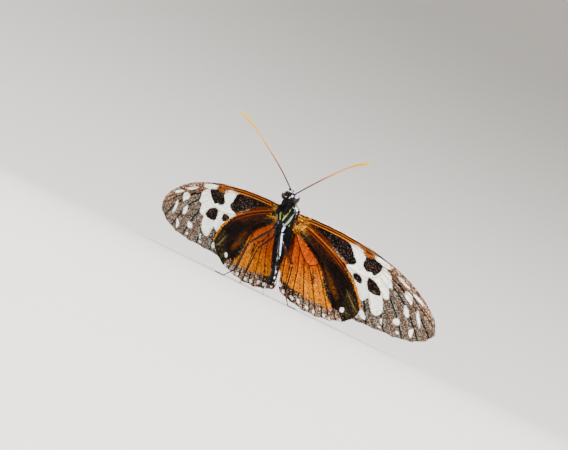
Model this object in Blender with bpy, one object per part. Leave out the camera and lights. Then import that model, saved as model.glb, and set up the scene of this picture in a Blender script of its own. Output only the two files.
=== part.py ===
"""Tiger longwing butterfly at life size, standing with its body pitched up and its wings open.

Metres, +Z up. The head faces -Y and the animal's left side is +X. Sizes below are in millimetres.
The body, head and wings are modelled in a body frame (x to the left, y to the tail, z to the back),
which an empty tips up by BODY_PITCH. The legs are modelled standing on the floor, z = 0.
"""
import math

import bmesh
import bpy
import numpy as np
from mathutils import Matrix, Vector
from mathutils.geometry import delaunay_2d_cdt

MM = 0.001
GAP = 0.3

# Stance
BODY_PITCH = math.radians(55.0)
THORAX_Z = 19.2
THORAX_Y = -3.71

# Thorax, from the neck over the collar and the wing-bearing middle to the waist
THORAX_SIDES = 20
THORAX_RING_STEP = 0.62
THORAX_PROFILE = [
    (-4.45, 0.25, 0.8, 0.85), (-4.0, 0.25, 1.4, 1.45), (-3.45, 0.2, 1.62, 1.75), (-3.1, 0.15, 1.72, 1.95),
    (-2.2, 0.1, 2.2, 2.5), (-0.8, 0.0, 2.42, 2.72), (0.6, 0.0, 2.38, 2.66), (2.0, 0.0, 2.08, 2.3),
    (3.2, -0.05, 1.62, 1.75), (4.0, -0.1, 1.15, 1.2), (4.4, -0.15, 0.7, 0.75),
]

# Abdomen, eight segments behind the waist
ABDOMEN_START_Y = 3.2
ABDOMEN_END_Y = 18.8
ABDOMEN_RADIUS = 1.25
ABDOMEN_DROOP = 1.1
ABDOMEN_SEGMENTS = 8
SEGMENT_GROOVE = 0.1

# Head
HEAD_Y = -6.0
HEAD_Z = 0.3
HEAD_RADII = (1.45, 1.35, 1.45)
NECK_RADIUS = 0.75
NECK_END_Y = -3.6
EYE_RADII = (0.92, 1.15, 1.3)
EYE_X = 1.5

# Antennae
ANTENNA_LENGTH = 23.5
ANTENNA_SPREAD = math.radians(43.0)
ANTENNA_SHAFT_RADIUS = 0.25
ANTENNA_CLUB_RADIUS = 0.42

# Wings: the hinge is the front corner of the forewing's root
HINGE_X = 2.2
HINGE_Y = -2.2
HINGE_Z = 1.35
DIHEDRAL = math.radians(10.0)
TIP_DROOP = 0.0016
WING_PITCH = math.radians(5.0)
LAYER_DROP = 1.22
FOLD_LIFT = 1.3
WING_THICKNESS = 0.5
RIDGE_HEIGHT = 0.2
RIDGE_HALF_WIDTH = 0.42
VEIN_STEP = 2.0
MARGIN_STEP = 1.6
FILL_STEP = 3.0
SCALLOP_DEPTH = 0.3

# Outlines through (outward from the hinge, forward of the hinge)
FOREWING_OUTLINE = [
    (-1.6, 0.1), (1.0, 0.3), (6.0, 0.05), (13.0, -0.9), (20.0, -2.7), (27.0, -5.3), (33.0, -8.5),
    (37.6, -12.4), (40.2, -16.6), (40.4, -20.2), (37.6, -23.3), (32.5, -25.1), (26.0, -25.3),
    (19.0, -25.1), (15.4, -23.9), (13.0, -21.2), (8.6, -13.6), (4.2, -6.3), (1.4, -2.9), (-1.6, -2.0),
]
HINDWING_OUTLINE = [
    (-1.7, -2.6), (0.6, -2.3), (4.5, -3.2), (10.0, -6.2), (15.2, -10.4), (19.2, -15.2), (20.8, -19.4),
    (20.3, -22.8), (17.6, -25.8), (13.0, -27.5), (9.0, -27.9), (5.0, -27.3), (1.6, -26.0),
    (-0.7, -24.9), (-1.75, -23.2), (-1.9, -20.0), (-1.9, -15.0), (-1.9, -10.0), (-1.9, -6.8), (-1.7, -4.9),
]

# Veins through points of the same frame, each from its root or its parent vein to the margin
FOREWING_VEINS = {
    "subcosta": [(0.4, -0.5), (8.0, -0.9), (15.0, -2.2), (21.5, -3.8)],
    "radius": [(0.4, -1.0), (7.0, -1.6), (13.0, -2.6), (18.0, -4.3), (22.0, -5.9), (24.2, -6.8)],
    "radius_1": [(18.0, -4.3), (23.0, -5.1), (28.2, -6.5)],
    "radius_2": [(24.2, -6.8), (28.5, -7.7), (33.0, -9.2)],
    "radius_4": [(24.2, -6.8), (29.5, -9.3), (34.0, -11.7), (39.2, -15.6)],
    "radius_5": [(29.5, -9.3), (34.0, -13.2), (37.8, -17.0), (40.0, -19.6)],
    "media_1": [(24.3, -7.8), (29.0, -10.6), (33.3, -14.6), (36.3, -19.0), (38.2, -22.4)],
    "media_2": [(23.6, -9.1), (27.4, -12.2), (30.8, -16.5), (33.3, -21.0), (34.9, -24.2)],
    "media_3": [(22.0, -10.4), (25.0, -13.6), (27.3, -18.0), (29.2, -22.3), (30.0, -24.9)],
    "cubitus_1": [(20.2, -10.9), (21.6, -14.2), (22.9, -18.6), (24.2, -22.8), (24.8, -25.0)],
    "cubitus_2": [(14.6, -9.4), (17.0, -14.0), (19.1, -19.0), (20.3, -24.6)],
    "cubitus": [(0.4, -1.5), (5.0, -3.7), (10.0, -6.7), (14.6, -9.4), (17.6, -10.5), (20.2, -10.9)],
    "cell_end": [(20.2, -10.9), (22.0, -10.4), (23.6, -9.1), (24.3, -7.8), (24.2, -6.8)],
    "anal": [(1.2, -2.1), (5.0, -6.2), (9.6, -13.4), (13.6, -20.4), (15.2, -23.2)],
}
HINDWING_VEINS = {
    "subcosta": [(0.4, -3.0), (5.5, -5.0), (11.7, -9.2), (16.6, -14.0), (20.0, -19.6)],
    "radius": [(0.4, -3.5), (4.6, -6.2), (8.8, -10.0), (13.8, -16.0), (17.8, -21.6), (19.2, -24.0)],
    "media_1": [(8.8, -10.0), (12.2, -17.0), (15.4, -23.2), (16.6, -26.0)],
    "media_2": [(7.7, -12.0), (10.2, -18.4), (12.3, -24.8), (12.9, -27.2)],
    "media_3": [(5.6, -13.2), (7.4, -19.0), (8.8, -25.0), (9.2, -27.6)],
    "cubitus_1": [(4.0, -11.6), (4.8, -18.0), (5.4, -24.0), (5.6, -27.1)],
    "cubitus_2": [(2.5, -8.9), (2.7, -15.0), (2.4, -21.0), (2.1, -25.8)],
    "cubitus": [(0.3, -4.0), (1.4, -6.4), (2.5, -8.9), (4.0, -11.6), (5.6, -13.2)],
    "cell_end": [(5.6, -13.2), (7.7, -12.0), (8.8, -10.0)],
    "anal": [(0.2, -4.8), (0.6, -10.0), (0.4, -17.0), (-0.3, -23.9)],
}

# Legs: the hip and trochanter are in the body frame. Ankles and toes are given sideways and to the
# tail from the point of the floor under the thorax
FEMUR = 6.9
TIBIA = 7.2
ANKLE_HEIGHT = 2.7
FOOT_AXIS_Z = 0.2
LEG_RADIUS = {"coxa": 0.6, "femur": 0.37, "knee": 0.32, "tibia": 0.27, "foot": 0.26, "toe": 0.25}
LEG_SIDES = 8
MID_HIP = (0.9, 1.2, -1.9)
MID_TROCHANTER = (1.3, 2.0, -3.45)
MID_ANKLE = (4.5, -4.2)
MID_TOE = (7.0, -8.9)
HIND_HIP = (0.85, 3.0, -1.3)
HIND_TROCHANTER = (1.2, 4.5, -2.75)
HIND_ANKLE = (6.0, 5.4)
HIND_TOE = (8.5, 10.2)

COLOURS = {
    "black_scales": ((0.018, 0.016, 0.018, 1.0), 0.7),
    "orange_wing": ((0.62, 0.20, 0.03, 1.0), 0.6),
    "eye": ((0.02, 0.014, 0.012, 1.0), 0.15),
    "antenna_yellow": ((0.80, 0.50, 0.05, 1.0), 0.55),
    "leg_chitin": ((0.02, 0.02, 0.026, 1.0), 0.4),
}

for old in list(bpy.data.objects):
    bpy.data.objects.remove(old)


def material(name):
    """The Principled material of that name, made once."""
    found = bpy.data.materials.get(name)
    if found:
        return found
    made = bpy.data.materials.new(name)
    made.use_nodes = True
    shader = made.node_tree.nodes["Principled BSDF"]
    colour, roughness = COLOURS[name]
    shader.inputs["Base Color"].default_value = colour
    shader.inputs["Roughness"].default_value = roughness
    shader.inputs["Metallic"].default_value = 0.0
    return made


def add_object(name, bm, finish, parent=None, smooth=True):
    """Puts a bmesh drawn in millimetres into the scene as one object in metres."""
    bmesh.ops.scale(bm, vec=(MM, MM, MM), verts=bm.verts)
    mesh = bpy.data.meshes.new(name)
    bm.to_mesh(mesh)
    bm.free()
    if smooth:
        mesh.shade_smooth()
        mesh.set_sharp_from_angle(angle=math.radians(40))
    mesh.materials.append(material(finish))
    made = bpy.data.objects.new(name, mesh)
    bpy.context.collection.objects.link(made)
    made.parent = parent
    return made


def hide_cutter(cutter):
    cutter.hide_render = True
    cutter.display_type = "WIRE"
    return cutter


def cut(target, cutter):
    """Takes the cutter's volume out of the target with a live Boolean."""
    boolean = target.modifiers.new("clear_" + cutter.name, "BOOLEAN")
    boolean.operation = "DIFFERENCE"
    boolean.solver = "EXACT"
    boolean.object = cutter


def ring(bm, matrix, half_width, half_height, sides):
    """One elliptical ring of vertices in the matrix's xy plane, as the list of its edges."""
    shape = matrix @ Matrix.Diagonal((half_width, half_height, 1.0, 1.0))
    made = bmesh.ops.create_circle(bm, segments=sides, radius=1.0, matrix=shape)
    return list({edge for vert in made["verts"] for edge in vert.link_edges})


def skin(bm, rings):
    """Bridges rings of edges into a closed tube and caps both ends."""
    for first, second in zip(rings, rings[1:]):
        bmesh.ops.bridge_loops(bm, edges=first + second)
    for end in (rings[0], rings[-1]):
        bmesh.ops.contextual_create(bm, geom=end)
    bmesh.ops.recalc_face_normals(bm, faces=bm.faces)


def loft(stations, sides):
    """A closed body from (y, z, half_width, half_height) stations across the y axis."""
    bm = bmesh.new()
    turn = Matrix.Rotation(math.radians(90), 4, "X")
    rings = [ring(bm, Matrix.Translation((0, y, z)) @ turn, wide, high, sides)
             for y, z, wide, high in stations]
    skin(bm, rings)
    return bm


def sweep(points, radii, sides, flatten=1.0):
    """A closed limb along points, with a radius at each. Rings keep their turn from point to point."""
    bm = bmesh.new()
    path = [Vector(p) for p in points]
    side = Vector((1, 0, 0))
    rings = []
    for i, here in enumerate(path):
        ahead = path[min(i + 1, len(path) - 1)] - path[max(i - 1, 0)]
        axis = ahead.normalized()
        side = (side - axis * side.dot(axis)).normalized()
        frame = Matrix((side, axis.cross(side), axis)).transposed().to_4x4()
        rings.append(ring(bm, Matrix.Translation(here) @ frame, radii[i], radii[i] * flatten, sides))
    skin(bm, rings)
    return bm


def smooth_line(points, step, closed=False):
    """Points about step apart on a Catmull-Rom curve through the given ones, of any dimension."""
    given = [np.array(p, float) for p in points]
    count = len(given)
    spans = count if closed else count - 1
    line = []
    for i in range(spans):
        if closed:
            a, b, c, d = (given[(i + k) % count] for k in (-1, 0, 1, 2))
        else:
            b, c = given[i], given[i + 1]
            a = given[i - 1] if i else 2 * b - c
            d = given[i + 2] if i + 2 < count else 2 * c - b
        pieces = max(1, round(float(np.linalg.norm(c - b)) / step))
        for k in range(pieces):
            t = k / pieces
            line.append(0.5 * (2 * b + (c - a) * t + (2 * a - 5 * b + 4 * c - d) * t * t
                               + (3 * b - a - 3 * c + d) * t ** 3))
    if not closed:
        line.append(given[-1])
    return line


def on_side(points, sign):
    """The points as they are on the left side, sign 1, or mirrored to the right side, sign -1."""
    return [(sign * p[0], *p[1:]) for p in points]


# Head, thorax and abdomen

def thorax_stations(grow=0.0):
    stations = [(y, z, wide + grow, high + grow)
                for y, z, wide, high in smooth_line(THORAX_PROFILE, THORAX_RING_STEP)]
    first, last = stations[0], stations[-1]
    stations[0] = (first[0] - grow, *first[1:])
    stations[-1] = (last[0] + grow, *last[1:])
    return stations


def head_stations(grow=0.0):
    wide, long, high = HEAD_RADII
    stations = []
    for i in range(11):
        t = -math.cos(math.pi * (i + 0.5) / 13)
        bulge = math.sqrt(1 - t * t)
        stations.append((HEAD_Y + t * (long + grow), HEAD_Z,
                         bulge * wide + grow, bulge * high + grow))
    neck = [s for s in stations if s[2] > NECK_RADIUS + grow or s[0] < HEAD_Y]
    for y in (HEAD_Y + long + 0.2, NECK_END_Y):
        neck.append((y, HEAD_Z, NECK_RADIUS + grow, NECK_RADIUS + grow))
    return neck


def abdomen_stations():
    """Each segment swells a little between two grooves, and the whole tapers to a blunt tip."""
    stations = []
    long = ABDOMEN_END_Y - ABDOMEN_START_Y
    per_segment = (0.0, 0.3, 0.75)
    for i in range(ABDOMEN_SEGMENTS):
        for part in per_segment:
            s = (i + part) / ABDOMEN_SEGMENTS
            waist = 0.62 + 0.38 * min(1.0, s / 0.22) ** 0.7
            taper = math.sqrt(max(0.0, 1 - max(0.0, (s - 0.35) / 0.72) ** 2))
            radius = ABDOMEN_RADIUS * waist * taper
            if part == 0.0 and i:
                radius -= SEGMENT_GROOVE
            stations.append((ABDOMEN_START_Y + s * long, -0.15 - ABDOMEN_DROOP * s * s,
                             radius, radius * 1.06))
    stations.append((ABDOMEN_END_Y, -0.15 - ABDOMEN_DROOP, 0.42, 0.45))
    return stations


def make_trunk(body):
    """Thorax, abdomen and head, with the cutters that keep their neighbours a gap away."""
    thorax_space = hide_cutter(add_object("thorax_space", loft(thorax_stations(GAP), THORAX_SIDES),
                                          "black_scales", body))
    head_space = hide_cutter(add_object("head_space", loft(head_stations(GAP), 20), "black_scales", body))
    add_object("thorax", loft(thorax_stations(), THORAX_SIDES), "black_scales", body)
    abdomen = add_object("abdomen", loft(abdomen_stations(), 16), "black_scales", body)
    cut(abdomen, thorax_space)
    head = add_object("head", loft(head_stations(), 20), "black_scales", body)
    cut(head, thorax_space)
    for name, sign in (("left", 1), ("right", -1)):
        for grow, label in ((0.0, "eye_"), (GAP, "eye_space_")):
            eye = bmesh.new()
            size = Matrix.Diagonal((*(r + grow for r in EYE_RADII), 1.0))
            tilt = Matrix.Rotation(sign * math.radians(-12), 4, "Y")
            place = Matrix.Translation((sign * EYE_X, HEAD_Y - 0.05, HEAD_Z + 0.05))
            bmesh.ops.create_uvsphere(eye, u_segments=18, v_segments=12, radius=1.0,
                                      matrix=place @ tilt @ size)
            made = add_object(label + name, eye, "eye", body)
            if grow:
                cut(head, hide_cutter(made))
    return thorax_space, head_space


# Mouth parts and antennae

def make_mouth(body, head_space):
    for name, sign in (("left", 1), ("right", -1)):
        path = [(0.4, -6.4, -0.8), (0.46, -7.0, -1.5), (0.5, -7.6, -1.4), (0.54, -8.0, -0.75),
                (0.56, -8.15, 0.1)]
        line = smooth_line(on_side(path, sign), 0.4)
        radii = [0.27 + 0.09 * math.sin(math.pi * i / (len(line) - 1)) for i in range(len(line))]
        radii[-1] = 0.14
        cut(add_object("palp_" + name, sweep(line, radii, 8), "black_scales", body), head_space)
    coil_centre = (-5.75, -2.95)
    coil = [(0.0, -6.5, -0.9), (0.0, -6.66, -2.0)]
    turns, first, last = 1.25, 0.95, 0.3
    for i in range(25):
        share = i / 24
        angle = math.pi + 2 * math.pi * turns * share
        radius = first + (last - first) * share
        coil.append((0.0, coil_centre[0] + radius * math.cos(angle),
                     coil_centre[1] + radius * math.sin(angle)))
    radii = [0.24 - 0.1 * i / (len(coil) - 1) for i in range(len(coil))]
    cut(add_object("proboscis", sweep(coil, radii, 8), "black_scales", body), head_space)


def make_antennae(body, head_space):
    """Each shaft leaves the brow, bows outward and ends in a slender club."""
    for name, sign in (("left", 1), ("right", -1)):
        points, here = [(0.42, -6.2, 0.75)], Vector((0.58, -6.75, 1.55))
        count = 22
        for i in range(count + 1):
            points.append(tuple(here))
            share = i / count
            spread = ANTENNA_SPREAD + math.radians(7 * share + 15 * max(0.0, share - 0.65) / 0.35)
            lift = math.radians(8 - 11 * min(1.0, share * 3))
            here = here + Vector((math.sin(spread) * math.cos(lift), -math.cos(spread) * math.cos(lift),
                                  math.sin(lift))) * (ANTENNA_LENGTH / count)
        radii = []
        for i in range(len(points)):
            club = max(0.0, (i / (len(points) - 1) - 0.68) / 0.32)
            radii.append(ANTENNA_SHAFT_RADIUS + (ANTENNA_CLUB_RADIUS - ANTENNA_SHAFT_RADIUS)
                         * math.sin(math.pi * 0.5 * club) ** 1.5)
        radii[0] = radii[1] = 0.3
        radii[-1] = 0.2
        made = add_object("antenna_" + name, sweep(on_side(points, sign), radii, 8), "antenna_yellow", body)
        cut(made, head_space)


# Wings

def wing_height(u, v):
    """Height of the forewing's middle surface over the hinge, in the body frame."""
    return u * math.sin(DIHEDRAL) - TIP_DROOP * u * abs(u) - v * math.sin(WING_PITCH)


def wing_place(u, v, lift, sign):
    """From the wing's own plane to the body frame."""
    return (sign * (HINGE_X + u * math.cos(DIHEDRAL)), HINGE_Y - v * math.cos(WING_PITCH),
            HINGE_Z + wing_height(u, v) + lift)


def ease(value, low, high):
    """0 at low and below, 1 at high and above, and smooth between."""
    t = min(1.0, max(0.0, (value - low) / (high - low)))
    return t * t * (3 - 2 * t)


def inner_fold(u, v):
    """How far the hindwing's inner edge rises to lie over the abdomen."""
    return (FOLD_LIFT * (1 - ease(u, -0.6, 1.3)) * ease(-v, 4.2, 6.0)
            * (1 - 0.9 * ease(-v, 7.5, 16.0)))


def distance_to_lines(points, lines):
    """Distance from each point to the nearest segment of the polylines."""
    best = np.full(len(points), 1e9)
    for line in lines:
        for a, b in zip(line, line[1:]):
            along = b - a
            share = np.clip(((points - a) @ along) / max(float(along @ along), 1e-12), 0, 1)
            best = np.minimum(best, np.linalg.norm(points - (a + share[:, None] * along), axis=1))
    return best


def inside(points, outline):
    """Whether each point is inside the closed outline, by crossing number."""
    result = np.zeros(len(points), bool)
    for a, b in zip(outline, np.roll(outline, -1, axis=0)):
        crosses = (a[1] > points[:, 1]) != (b[1] > points[:, 1])
        with np.errstate(divide="ignore", invalid="ignore"):
            at = a[0] + (points[:, 1] - a[1]) * (b[0] - a[0]) / (b[1] - a[1])
        result ^= crosses & (points[:, 0] < at)
    return result


def scalloped(outline, vein_ends):
    """Draws the margin in a little between the ends of the veins."""
    centre = outline.mean(axis=0)
    ends = np.array(vein_ends)
    made = []
    for point in outline:
        near = np.linalg.norm(ends - point, axis=1).min()
        if point[1] > -8 or near > 4.5:
            made.append(point)
            continue
        inward = (centre - point) / np.linalg.norm(centre - point)
        made.append(point + inward * SCALLOP_DEPTH * min(1.0, near / 1.6))
    return np.array(made)


def wing_plan(outline_points, veins):
    """The flat triangulation of a wing: points, triangles, and which points lie on a vein."""
    ends = [path[-1] for name, path in veins.items() if name not in ("radius", "cubitus", "cell_end")]
    outline = scalloped(np.array(smooth_line(outline_points, MARGIN_STEP, closed=True)), ends)
    closed = [*outline, outline[0]]
    centre_lines = []
    for path in veins.values():
        line = [p for p in smooth_line(path, VEIN_STEP)]
        clear = distance_to_lines(np.array(line), [closed]) > 0.6
        centre_lines.append([p for p, keep in zip(line, clear) if keep])
    chosen = [*outline]
    edges = [(i, (i + 1) % len(outline)) for i in range(len(outline))]
    for line in centre_lines:
        for i, point in enumerate(line):
            if i:
                edges.append((len(chosen) - 1, len(chosen)))
            chosen.append(point)
    on_vein = len(chosen)
    for i, line in enumerate(centre_lines):
        others = centre_lines[:i] + centre_lines[i + 1:]
        for turn in (1, -1):
            last = None
            for k, point in enumerate(line):
                along = line[min(k + 1, len(line) - 1)] - line[max(k - 1, 0)]
                across = turn * np.array((-along[1], along[0])) / np.linalg.norm(along)
                foot = (point + across * RIDGE_HALF_WIDTH)[None, :]
                clear = distance_to_lines(foot, others)[0] > 0.9 * RIDGE_HALF_WIDTH
                clear &= distance_to_lines(foot, [closed])[0] > 0.45
                if not clear:
                    last = None
                    continue
                if last is not None:
                    edges.append((last, len(chosen)))
                last = len(chosen)
                chosen.append(foot[0])
    low, high = outline.min(axis=0), outline.max(axis=0)
    for row, y in enumerate(np.arange(low[1], high[1], FILL_STEP * 0.87)):
        for x in np.arange(low[0] + (row % 2) * FILL_STEP / 2, high[0], FILL_STEP):
            point = np.array((x, y))
            apart = np.linalg.norm(np.array(chosen) - point, axis=1).min()
            if apart > 0.45 * FILL_STEP and inside(point[None, :], outline)[0]:
                chosen.append(point)
    vectors = [Vector((float(p[0]), float(p[1]))) for p in chosen]
    points, _, faces, sources, _, _ = delaunay_2d_cdt(vectors, edges, [], 0, 1e-4)
    points = np.array([(p.x, p.y) for p in points])
    vein = np.array([any(len(outline) <= k < on_vein for k in source) for source in sources])
    middles = np.array([points[list(f)].mean(axis=0) for f in faces])
    return points, [f for f, keep in zip(faces, inside(middles, outline)) if keep], vein, closed


def wing_mesh(plan, drop, sign):
    """Two alike skins half a thickness either side of the middle surface, raised along the veins."""
    points, faces, vein, closed = plan
    to_margin = distance_to_lines(points, [closed])
    ridge = np.where(vein, RIDGE_HEIGHT * np.clip(to_margin / 1.5, 0, 1), 0)
    lifts = [(inner_fold(u, v) if drop else 0.0) - drop for u, v in points]
    bm = bmesh.new()
    layers = []
    for up in (1, -1):
        layers.append([bm.verts.new(wing_place(u, v, up * (WING_THICKNESS / 2 + r) + lift, sign))
                       for (u, v), r, lift in zip(points, ridge, lifts)])
    rim = {}
    for face in faces:
        for layer, order in ((layers[0], face), (layers[1], face[::-1])):
            bm.faces.new([layer[i] for i in order])
        for a, b in zip(face, (*face[1:], face[0])):
            rim[(a, b)] = True
    for a, b in rim:
        if (b, a) not in rim:
            bm.faces.new((layers[0][b], layers[0][a], layers[1][a], layers[1][b]))
    bmesh.ops.delete(bm, geom=[v for v in bm.verts if not v.link_faces], context="VERTS")
    bmesh.ops.triangulate(bm, faces=[f for f in bm.faces if len(f.verts) > 3])
    bmesh.ops.recalc_face_normals(bm, faces=bm.faces)
    return bm


def make_wings(body, thorax_space):
    kinds = (("forewing_", FOREWING_OUTLINE, FOREWING_VEINS, 0.0),
             ("hindwing_", HINDWING_OUTLINE, HINDWING_VEINS, LAYER_DROP))
    for kind, outline, veins, drop in kinds:
        plan = wing_plan(outline, veins)
        for name, sign in (("left", 1), ("right", -1)):
            wing = add_object(kind + name, wing_mesh(plan, drop, sign), "orange_wing", body, smooth=False)
            cut(wing, thorax_space)


# Legs

def bend(hip, ankle, upper, lower, pole):
    """Where the knee of a two-link limb comes, on the pole's side."""
    span = ankle - hip
    along = (upper ** 2 - lower ** 2 + span.length_squared) / (2 * span.length)
    out = math.sqrt(max(upper ** 2 - along ** 2, 0.01))
    axis = span.normalized()
    return hip + axis * along + (pole - axis * pole.dot(axis)).normalized() * out


def leg_line(hip, trochanter, ankle_xy, toe_xy, tip_up):
    """Centre line and radii of a walking leg, in the frame of the floor."""
    hip, trochanter = tip_up @ Vector(hip), tip_up @ Vector(trochanter)
    ankle = Vector((ankle_xy[0], THORAX_Y + ankle_xy[1], ANKLE_HEIGHT))
    toe = Vector((toe_xy[0], THORAX_Y + toe_xy[1], FOOT_AXIS_Z))
    knee = bend(trochanter, ankle, FEMUR, TIBIA, Vector((ankle_xy[0], ankle_xy[1] * 0.6, 9.0)))
    heel = ankle.lerp(Vector((toe.x, toe.y, FOOT_AXIS_Z)), 0.5)
    heel.z = FOOT_AXIS_Z
    r = LEG_RADIUS
    points = [hip, hip.lerp(trochanter, 0.7), trochanter]
    radii = [r["coxa"], r["coxa"] * 0.9, r["femur"]]
    for share, radius in ((0.08, 0.33), (0.35, r["femur"]), (0.7, r["femur"] * 0.92), (0.93, r["knee"])):
        points.append(trochanter.lerp(knee, share))
        radii.append(radius)
    points.append(knee)
    radii.append(r["knee"] * 1.05)
    shin = ((0.06, r["knee"] * 0.95), (0.3, r["tibia"]), (0.7, r["tibia"]), (0.95, r["tibia"] * 1.12))
    for share, radius in shin:
        points.append(knee.lerp(ankle, share))
        radii.append(radius)
    foot = smooth_line([ankle, heel.lerp(ankle, 0.35), heel, heel.lerp(toe, 0.5), toe], 0.75)
    for i, point in enumerate(foot[1:]):
        points.append(Vector(point))
        radii.append(r["foot"] + (0.02 if i % 2 else -0.01))
    radii[-1] = r["toe"] * 0.8
    return points, radii


def stand_flat(bm):
    """Presses what would pass through the floor flat on it."""
    for vert in bm.verts:
        vert.co.z = max(vert.co.z, 0.0)


def make_legs(tip_up, body, thorax_space):
    walking = (("midleg_", MID_HIP, MID_TROCHANTER, MID_ANKLE, MID_TOE),
               ("hindleg_", HIND_HIP, HIND_TROCHANTER, HIND_ANKLE, HIND_TOE))
    for kind, hip, trochanter, ankle, toe in walking:
        for name, sign in (("left", 1), ("right", -1)):
            points, radii = leg_line(hip, trochanter, ankle, toe, tip_up)
            bm = sweep(on_side(points, sign), radii, LEG_SIDES)
            stand_flat(bm)
            cut(add_object(kind + name, bm, "leg_chitin"), thorax_space)
    for name, sign in (("left", 1), ("right", -1)):
        path = [(0.75, -3.2, -0.9), (0.85, -3.0, -2.3), (0.95, -2.5, -3.3), (1.0, -3.0, -3.75),
                (1.02, -3.9, -3.2), (1.0, -4.7, -2.3)]
        line = smooth_line(on_side(path, sign), 0.5)
        radii = [0.42 - 0.2 * i / (len(line) - 1) for i in range(len(line))]
        cut(add_object("foreleg_" + name, sweep(line, radii, 8), "leg_chitin", body), thorax_space)


def main():
    body = bpy.data.objects.new("body_axis", None)
    bpy.context.collection.objects.link(body)
    body.location = (0.0, THORAX_Y * MM, THORAX_Z * MM)
    body.rotation_euler = (-BODY_PITCH, 0.0, 0.0)
    tip_up = Matrix.Translation((0, THORAX_Y, THORAX_Z)) @ Matrix.Rotation(-BODY_PITCH, 4, "X")
    thorax_space, head_space = make_trunk(body)
    make_mouth(body, head_space)
    make_antennae(body, head_space)
    make_wings(body, thorax_space)
    make_legs(tip_up, body, thorax_space)


main()
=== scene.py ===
"""Looks of the tiger longwing butterfly: scaled wings, furred body, eyes, feelers, mouth and legs.

Pieces are drawn in millimetres and finished in metres. The wings, body, head, feelers and mouth are
drawn in a body frame, x to the animal's left, y to the tail and z to the back, and BODY_TO_WORLD
tips it up on the floor. The legs are drawn standing on the floor.
"""
import math
from collections import namedtuple

import bmesh
import bpy
import numpy as np
from mathutils import Matrix, Vector

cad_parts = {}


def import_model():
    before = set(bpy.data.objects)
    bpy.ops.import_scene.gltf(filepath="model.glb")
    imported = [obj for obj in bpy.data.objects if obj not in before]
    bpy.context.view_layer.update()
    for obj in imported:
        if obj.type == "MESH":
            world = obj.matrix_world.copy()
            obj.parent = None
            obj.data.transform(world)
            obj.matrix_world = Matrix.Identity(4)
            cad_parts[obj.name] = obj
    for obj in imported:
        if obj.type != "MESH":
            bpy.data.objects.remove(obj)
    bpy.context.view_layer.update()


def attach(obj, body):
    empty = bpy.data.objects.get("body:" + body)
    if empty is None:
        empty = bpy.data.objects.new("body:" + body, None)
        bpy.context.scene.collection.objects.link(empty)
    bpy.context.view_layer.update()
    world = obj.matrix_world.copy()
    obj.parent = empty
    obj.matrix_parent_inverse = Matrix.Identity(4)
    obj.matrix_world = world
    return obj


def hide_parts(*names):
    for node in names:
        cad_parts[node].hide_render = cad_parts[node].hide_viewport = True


MM = 0.001
FINENESS = 1.0
SIDES = (("left", 1), ("right", -1))
random = np.random.default_rng(11)

# Stance
BODY_PITCH = math.radians(55.0)
THORAX_Y = -3.71
THORAX_Z = 19.2
BODY_TO_WORLD = Matrix.Translation((0, THORAX_Y, THORAX_Z)) @ Matrix.Rotation(-BODY_PITCH, 4, "X")
WORLD = Matrix.Identity(4)

# Wings: the hinge is the front corner of the forewing's root
HINGE = (2.2, -2.2, 1.35)
DIHEDRAL = math.radians(10.0)
TIP_DROOP = 0.0016
WING_PITCH = math.radians(5.0)
LAYER_DROP = 1.22
FOLD_LIFT = 1.3
NESTLE = 0.16
MEMBRANE = 0.17
MEMBRANE_EDGE = 0.05
VEIN_RISE = 0.11
VEIN_HALF = 0.16
PLEAT = 0.16
PLAN_UNIT = 50.0

# Outlines through (outward from the hinge, forward of the hinge), from the root's front by the tip and the
# inner rear corner to the root's rear, and for each the numbers of its tip's and its rear corner's points
FOREWING_OUTLINE = [
    (-1.6, 0.1), (1, 0.3), (6, 0.05), (13, -0.9), (20, -2.7), (27, -5.3), (33, -8.5),
    (37.6, -12.4), (40.2, -16.6), (40.4, -20.2), (37.6, -23.3), (32.5, -25.1), (26, -25.3),
    (19, -25.1), (15.4, -23.9), (13, -21.2), (8.6, -13.6), (4.2, -6.3), (1.4, -2.9), (-1.6, -2),
]
HINDWING_OUTLINE = [
    (-1.7, -2.3), (0.9, -1.6), (4.6, -3), (10, -6.2), (15.2, -10.4), (19.2, -15.2), (20.8, -19.4),
    (20.3, -22.8), (17.6, -25.8), (13, -27.5), (9, -27.9), (5, -27.3), (1.6, -26),
    (-0.7, -25), (-1.85, -23.5), (-2.12, -20), (-2.12, -15), (-2.12, -10), (-2.05, -6.8),
    (-1.7, -4.9),
]
FOREWING_CORNERS = (8, 14)
HINDWING_CORNERS = (6, 14)
SCALLOP_DEPTH = 0.3
SPAN_STEPS = 24
UPPER_SPOT_INSET = 0.35
FROST_DEPTH = 4.0

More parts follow.
